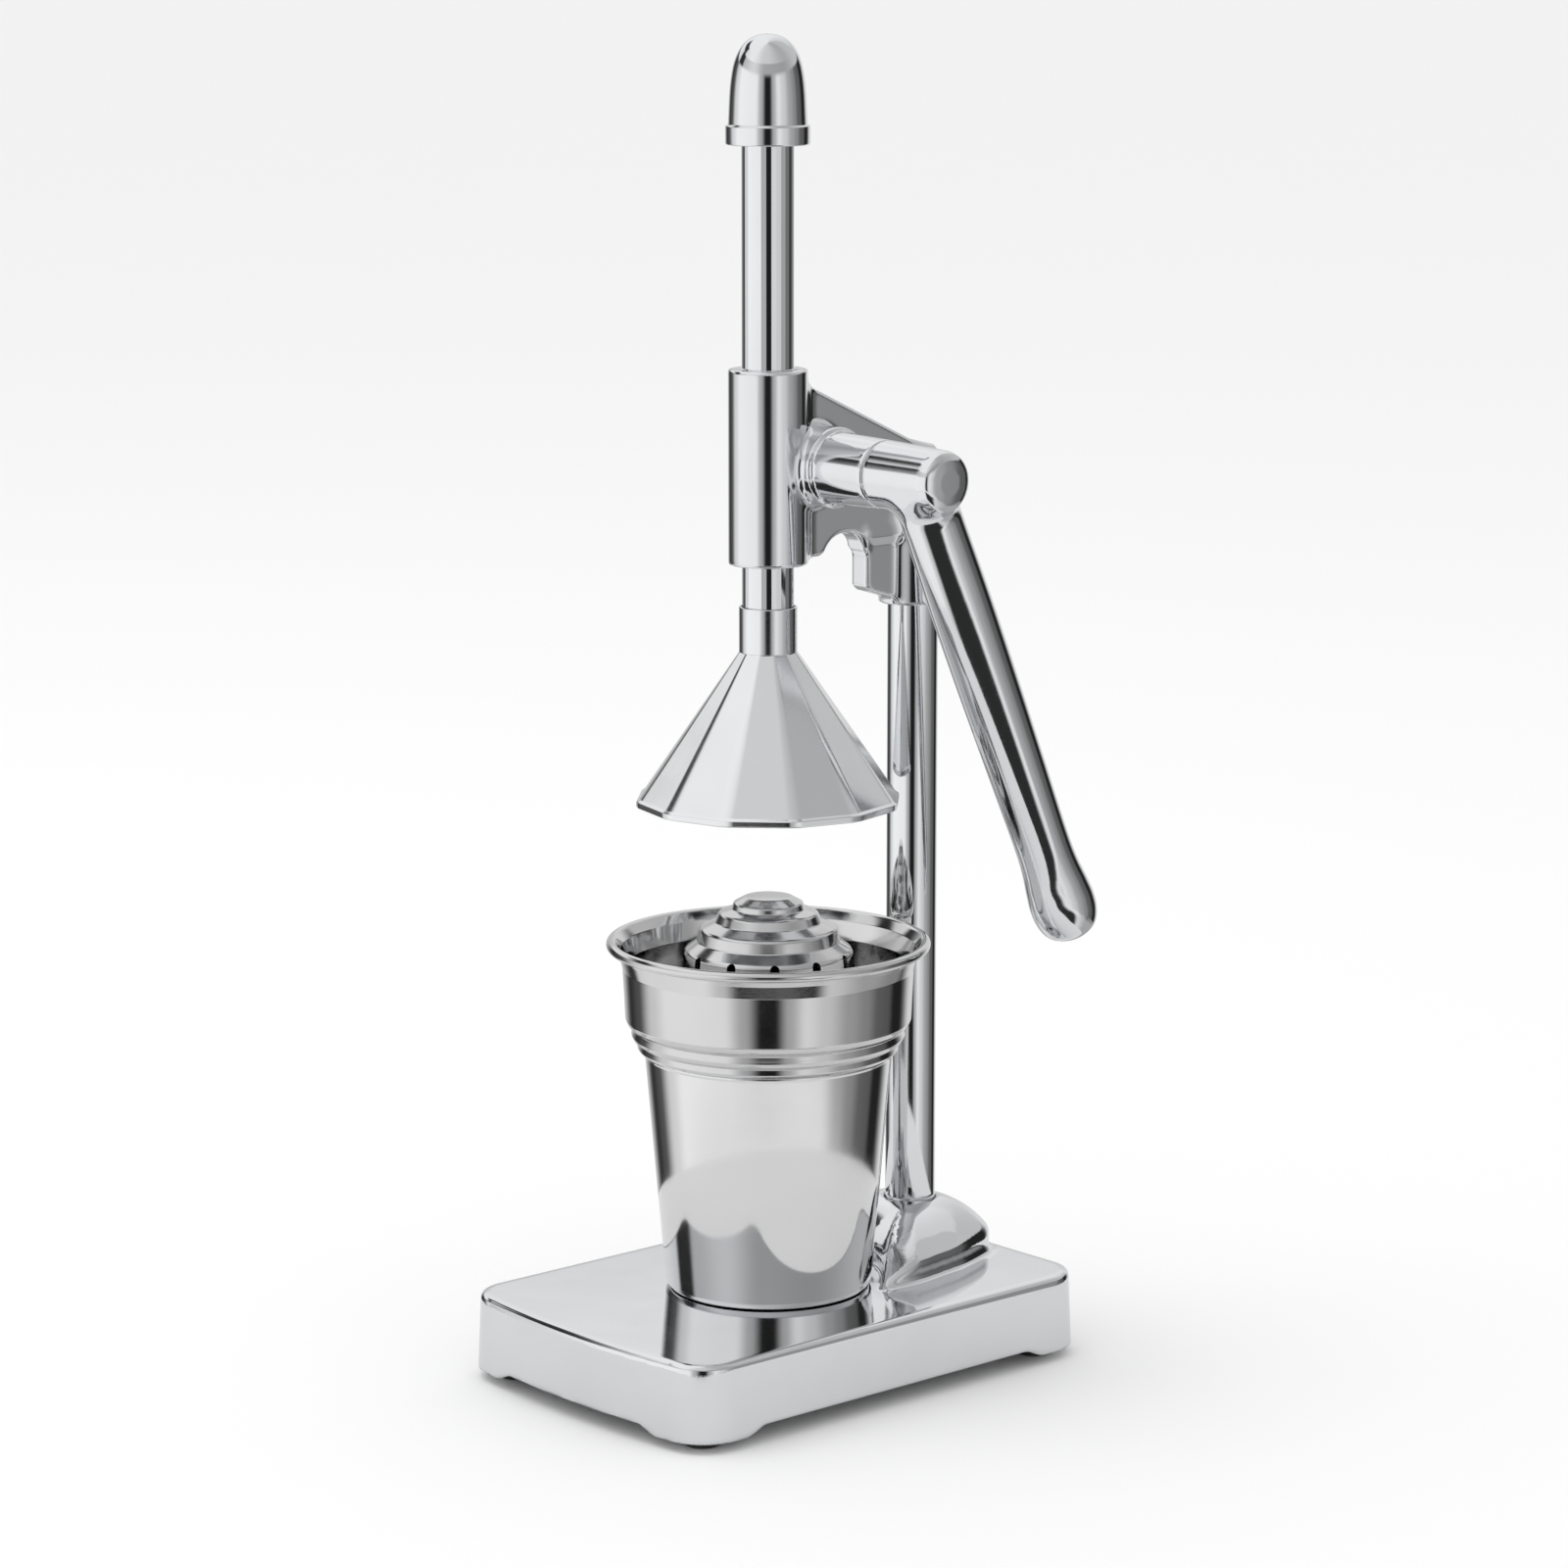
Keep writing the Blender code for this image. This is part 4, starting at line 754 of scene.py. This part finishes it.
def base_field(spots):
    """Plate and hood joined by a fillet, hollowed, with a boss for the column and foot pads."""
    x, y, z = spots.T
    x = x - base_x
    side = plan_distance(x, y, 0) + DRAFT * np.clip(z / PLATE_TOP, 0, 1)
    a = side + EDGE
    b = z - PLATE_TOP + EDGE
    solid = np.minimum(np.maximum(a, b), 0) + np.hypot(np.maximum(a, 0), np.maximum(b, 0)) - EDGE
    ahead = y - column_y
    bearing = np.arctan2(x, ahead)
    edge_reach = np.interp(bearing, hood_bearings, hood_reaches)
    share = np.clip(np.hypot(x, ahead) / edge_reach, 0, 1.3)
    edge_y = column_y + edge_reach * np.cos(bearing)
    side_top = PLATE_TOP + 1.6 + 5.4 * np.clip((edge_y - 22.0) / 12.0, 0, 1)
    rise = 1 - np.clip((share - 0.2) / 0.8, 0, 1.2) ** 2.3
    hood_roof = (z - side_top - (HOOD_TOP - side_top) * rise) * 0.8
    hood = -blend(-outline_distance(x, y, hood_plan), -hood_roof, 1.4)
    hood = np.maximum(hood, COLUMN_SEAT - z)
    solid = blend(solid, hood, 2.4)
    hollow = np.maximum(plan_distance(x, y, WALL), z - HOLLOW_TOP)
    off_column = np.hypot(x, y - column_y)
    cove = np.maximum(np.maximum(off_column - COVE_R, z - COVE_TOP), COVE_LOW - z)
    solid = carve(solid, blend(hollow, cove, 2.0), 1.0)
    boss = np.maximum(off_column - BOSS_R, np.maximum(BOSS_LOW - z, z - BOSS_TOP))
    solid = blend(solid, boss, 1.0)
    for foot_x in (-45.0, 45.0):
        for foot_y in (-66.0, 73.0):
            off_foot = np.hypot(x - foot_x, y - foot_y)
            pad = np.maximum(off_foot - PAD_R, np.maximum(PAD_LOW - z, z - PAD_TOP))
            pad_hole = np.maximum(off_foot - PAD_BORE, z - PAD_BORE_TOP)
            solid = np.maximum(blend(solid, pad, 1.0), -pad_hole)
    solid = carve(solid, np.maximum(off_column - BAR_BORE, COLUMN_SEAT - z), 0.6)
    solid = carve(solid, np.maximum(off_column - STUD_BORE, z - STUD_BORE_TOP), 0.6)
    lower_edge = LEG_EDGE + SKIRT_LIFT * np.maximum(arched(x, -39.0, 39.0), arched(y, -59.5, 66.0))
    return carve(solid, z - lower_edge, 0.6)


base = cast_surface("base_cast", base_field,
                    (base_x - BASE_HALF - 1.5, base_front - BOW - 1.5, 0.0),
                    (base_x + BASE_HALF + 1.5, base_rear + 1.5, HOOD_TOP + 1.5), 0.9, ram_axis)
finish_with(base, casting)
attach(base, "stand")
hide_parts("base")

# Feet. Four black rubber discs, moulded with a recess below for the head of the steel screw
# that holds each one under a corner of the base.
rubber = bpy.data.materials.new("foot_rubber")
rubber.use_nodes = True
rubber_nodes = rubber.node_tree.nodes
rubber_wires = rubber.node_tree.links
rubber_shader = rubber_nodes["Principled BSDF"]
rubber_place = rubber_nodes.new("ShaderNodeTexCoord")
rubber_speckle = rubber_nodes.new("ShaderNodeTexNoise")
rubber_speckle.inputs["Scale"].default_value = 1400
rubber_speckle.inputs["Detail"].default_value = 5
rubber_wires.new(rubber_place.outputs["Object"], rubber_speckle.inputs["Vector"])
rubber_tone = rubber_nodes.new("ShaderNodeMix")
rubber_tone.data_type = "RGBA"
rubber_tone.inputs["A"].default_value = (0.016, 0.016, 0.017, 1)
rubber_tone.inputs["B"].default_value = (0.05, 0.048, 0.046, 1)
rubber_wires.new(rubber_speckle.outputs["Fac"], rubber_tone.inputs["Factor"])
rubber_wires.new(rubber_tone.outputs["Result"], rubber_shader.inputs["Base Color"])
rubber_skin = rubber_nodes.new("ShaderNodeBump")
rubber_skin.inputs["Strength"].default_value = 0.3
rubber_skin.inputs["Distance"].default_value = 0.00005
rubber_wires.new(rubber_speckle.outputs["Fac"], rubber_skin.inputs["Height"])
rubber_wires.new(rubber_skin.outputs["Normal"], rubber_shader.inputs["Normal"])
rubber_shader.inputs["Roughness"].default_value = 0.62
for spot in ("front_right", "front_left", "rear_right", "rear_left"):
    foot_low, foot_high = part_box("foot_" + spot)
    foot_middle = middle("foot_" + spot)
    FOOT_R = (foot_high.x - foot_low.x) / 2 / MM
    FOOT_HIGH = (foot_high.z - foot_low.z) / MM
    foot_path = rounded_path([(FOOT_R, FOOT_HIGH, 0.3), (FOOT_R - 0.5, 0.5, 0.6),
                              (FOOT_R - 1.1, 0, 0.4), (3.6, 0, 0.4), (3.6, 1.9, 0.2),
                              (1.95, 1.9, 0), (1.95, FOOT_HIGH, 0)], 5)
    foot = lathe("foot_moulded_" + spot, foot_path,
                 Vector((foot_middle.x, foot_middle.y, foot_low.z)), steps=72, closed=True)
    finish_with(foot, rubber)
    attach(foot, "stand")
    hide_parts("foot_" + spot)

# Fixings. Turned and machined steel left bright: the shaft and its pinion, the housing's
# plug, washers, nut and screws, all in the frame's own shapes.
fixing_steel = metal("fixing_steel", (0.58, 0.58, 0.60), (0.50, 0.50, 0.52), 0.22, 0.36)
for name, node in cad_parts.items():
    if "screw" in name or name in ("column_washer", "column_nut", "shaft_washer",
                                   "pinion_shaft", "housing_plug"):
        finish_with(node, fixing_steel)

# Studio. A plain pale floor in an even pale room; the floor is painted darker where the chrome
# reflects it, as painted shade. Round the press the room has white walls, a paler ceiling and
# darker gaps between them, which give the chrome its edges.
floor_look = bpy.data.materials.new("pale_floor")
floor_look.use_nodes = True
floor_shader = floor_look.node_tree.nodes["Principled BSDF"]
floor_rays = floor_look.node_tree.nodes.new("ShaderNodeLightPath")
# Painted shade: the floor's colour is 0.95 to the camera but a darker 0.80 for glossy rays, so it shows
# darker in the chrome's reflections.
floor_painted_reflection_shade = floor_look.node_tree.nodes.new("ShaderNodeMix")
floor_painted_reflection_shade.data_type = "RGBA"
floor_painted_reflection_shade.inputs["A"].default_value = (0.95, 0.95, 0.95, 1)
floor_painted_reflection_shade.inputs["B"].default_value = (0.80, 0.80, 0.80, 1)
floor_look.node_tree.links.new(floor_rays.outputs["Is Glossy Ray"], floor_painted_reflection_shade.inputs["Factor"])
floor_look.node_tree.links.new(floor_painted_reflection_shade.outputs["Result"], floor_shader.inputs["Base Color"])
floor_shader.inputs["Roughness"].default_value = 0.9
floor_shader.inputs["Specular IOR Level"].default_value = 0.0
NEAR_FLOOR = 0.2
FAR_FLOOR = 30.0
SIDES = 96
rounds = []
for reach in (NEAR_FLOOR, FAR_FLOOR):
    rounds.append([(reach * cos(2 * pi * i / SIDES), reach * sin(2 * pi * i / SIDES), 0)
                   for i in range(SIDES)])
near_mesh = bpy.data.meshes.new("near_floor")
near_mesh.from_pydata(rounds[0], [], [list(range(SIDES))])
far_mesh = bpy.data.meshes.new("far_floor")
far_mesh.from_pydata(rounds[0] + rounds[1], [],
                     [(i, SIDES + i, SIDES + (i + 1) % SIDES, (i + 1) % SIDES)
                      for i in range(SIDES)])
for floor_part in (near_mesh, far_mesh):
    floor = keep_in_scene(floor_part.name, floor_part)
    floor.visible_glossy = floor_part is near_mesh
    finish_with(floor, floor_look)

room = bpy.data.worlds.new("pale_room")
room.use_nodes = True
bpy.context.scene.world = room
parts = room.node_tree.nodes
wires = room.node_tree.links
background = parts["Background"]
heading = parts.new("ShaderNodeTexCoord")
split = parts.new("ShaderNodeSeparateXYZ")
wires.new(heading.outputs["Generated"], split.inputs["Vector"])
behind = parts.new("ShaderNodeMath")
behind.operation = "MULTIPLY"
behind.inputs[1].default_value = -1
wires.new(split.outputs["Y"], behind.inputs[0])
bearing = parts.new("ShaderNodeMath")
bearing.operation = "ARCTAN2"
wires.new(split.outputs["X"], bearing.inputs[0])
wires.new(behind.outputs["Value"], bearing.inputs[1])
share = parts.new("ShaderNodeMapRange")
share.inputs["From Min"].default_value = -pi
share.inputs["From Max"].default_value = pi
wires.new(bearing.outputs["Value"], share.inputs["Value"])


def wall(stages):
    """Brightness by bearing, in degrees from the front and positive to the right."""
    ramp = parts.new("ShaderNodeValToRGB")
    ramp.color_ramp.interpolation = "EASE"
    stops = ramp.color_ramp.elements
    while len(stops) > 1:
        stops.remove(stops[-1])
    for index, (degrees_round, brightness) in enumerate(stages):
        spot = (degrees_round + 180) / 360
        stop = stops[0] if index == 0 else stops.new(spot)
        stop.position = spot
        stop.color = (brightness, brightness, brightness, 1)
    wires.new(share.outputs["Result"], ramp.inputs["Fac"])
    return ramp.outputs["Color"]


def band(low, high):
    """1 above high and 0 below low, with a soft step between, in degrees above the level."""
    step = parts.new("ShaderNodeMapRange")
    step.interpolation_type = "SMOOTHSTEP"
    step.inputs["From Min"].default_value = sin(radians(low))
    step.inputs["From Max"].default_value = sin(radians(high))
    wires.new(split.outputs["Z"], step.inputs["Value"])
    return step.outputs["Result"]


def layer(under, over, share_of_over):
    """One brightness laid over another, as far as share_of_over lets it show."""
    mix = parts.new("ShaderNodeMix")
    mix.data_type = "RGBA"
    wires.new(share_of_over, mix.inputs["Factor"])
    for socket, value in (("A", under), ("B", over)):
        if isinstance(value, float):
            mix.inputs[socket].default_value = (value, value, value, 1)
        else:
            wires.new(value, mix.inputs[socket])
    return mix.outputs["Result"]


below = wall([(-180, 0.45), (-125, 0.30), (-96, 0.45), (-72, 0.95), (-10, 1.0), (8, 0.70),
              (24, 0.03), (88, 0.03), (104, 0.75), (140, 0.45)])
level = wall([(-180, 0.04), (-158, 0.80), (-118, 0.60), (-94, 0.04), (-78, 0.10), (-58, 0.80),
              (-40, 1.05), (12, 1.00), (29, 0.50), (43, 0.015), (54, 0.015), (66, 0.50),
              (80, 0.90), (96, 0.72), (118, 0.42), (134, 0.30), (148, 0.14), (160, 0.12),
              (169, 0.02)])
low = wall([(-180, 0.45), (-150, 0.60), (-110, 0.55), (-92, 0.80), (-60, 0.95), (100, 0.92),
            (122, 0.55), (140, 0.22), (160, 0.30)])
above = wall([(-180, 0.60), (-130, 0.90), (-96, 0.95), (-76, 0.85), (-68, 0.03), (-50, 0.03),
              (-42, 0.60), (0, 0.80), (40, 0.45), (100, 0.40), (171, 0.62)])
upper = wall([(-180, 0.75), (-120, 1.0), (-102, 0.90), (-92, 0.04), (-62, 0.04), (-50, 0.90),
              (-15, 1.0), (38, 0.72), (118, 0.48), (160, 0.60)])
ceiling = wall([(-180, 0.75), (-120, 1.0), (-15, 1.0), (38, 0.72), (118, 0.48), (160, 0.60)])
surroundings = layer(below, low, band(-31, -26))
surroundings = layer(surroundings, level, band(-24.5, -22.5))
surroundings = layer(surroundings, above, band(14, 18))
surroundings = layer(surroundings, upper, band(29, 32))
surroundings = layer(surroundings, ceiling, band(41, 45))
seen = parts.new("ShaderNodeLightPath")
room_colour = layer(surroundings, 0.95, seen.outputs["Is Diffuse Ray"])
room_colour = layer(room_colour, 1.0, seen.outputs["Is Camera Ray"])
wires.new(room_colour, background.inputs["Color"])
background.inputs["Strength"].default_value = 1.0

key_light = bpy.data.lights.new("overhead_sheet", "AREA")
key_light.shape = "DISK"
key_light.size = 1.6
key_light.energy = 9
key = bpy.data.objects.new("overhead_sheet", key_light)
bpy.context.scene.collection.objects.link(key)
key.location = (-0.5, -0.7, 2.2)
key.rotation_euler = (Vector((0, 0, 0.2)) - key.location).to_track_quat("-Z", "Y").to_euler()
key.visible_glossy = False

# Camera. It stands to the front right, a little above the press. Its long lens keeps the
# column and the ram nearly parallel.
camera_data = bpy.data.cameras.new("camera")
camera_data.lens = 111.3
camera_data.sensor_width = 36.0
camera = bpy.data.objects.new("camera", camera_data)
bpy.context.scene.collection.objects.link(camera)
AIM = Vector((0.00234, -0.00248, 0.18811))
STAND_BEARING = radians(48.51)
STAND_HEIGHT = radians(10.72)
STAND_DISTANCE = 1.49608
outward = Vector((sin(STAND_BEARING) * cos(STAND_HEIGHT), -cos(STAND_BEARING) * cos(STAND_HEIGHT),
                  sin(STAND_HEIGHT)))
camera.location = AIM + outward * STAND_DISTANCE
camera.rotation_euler = (-outward).to_track_quat("-Z", "Y").to_euler()
bpy.context.scene.camera = camera
bpy.context.scene.view_settings.view_transform = "Standard"
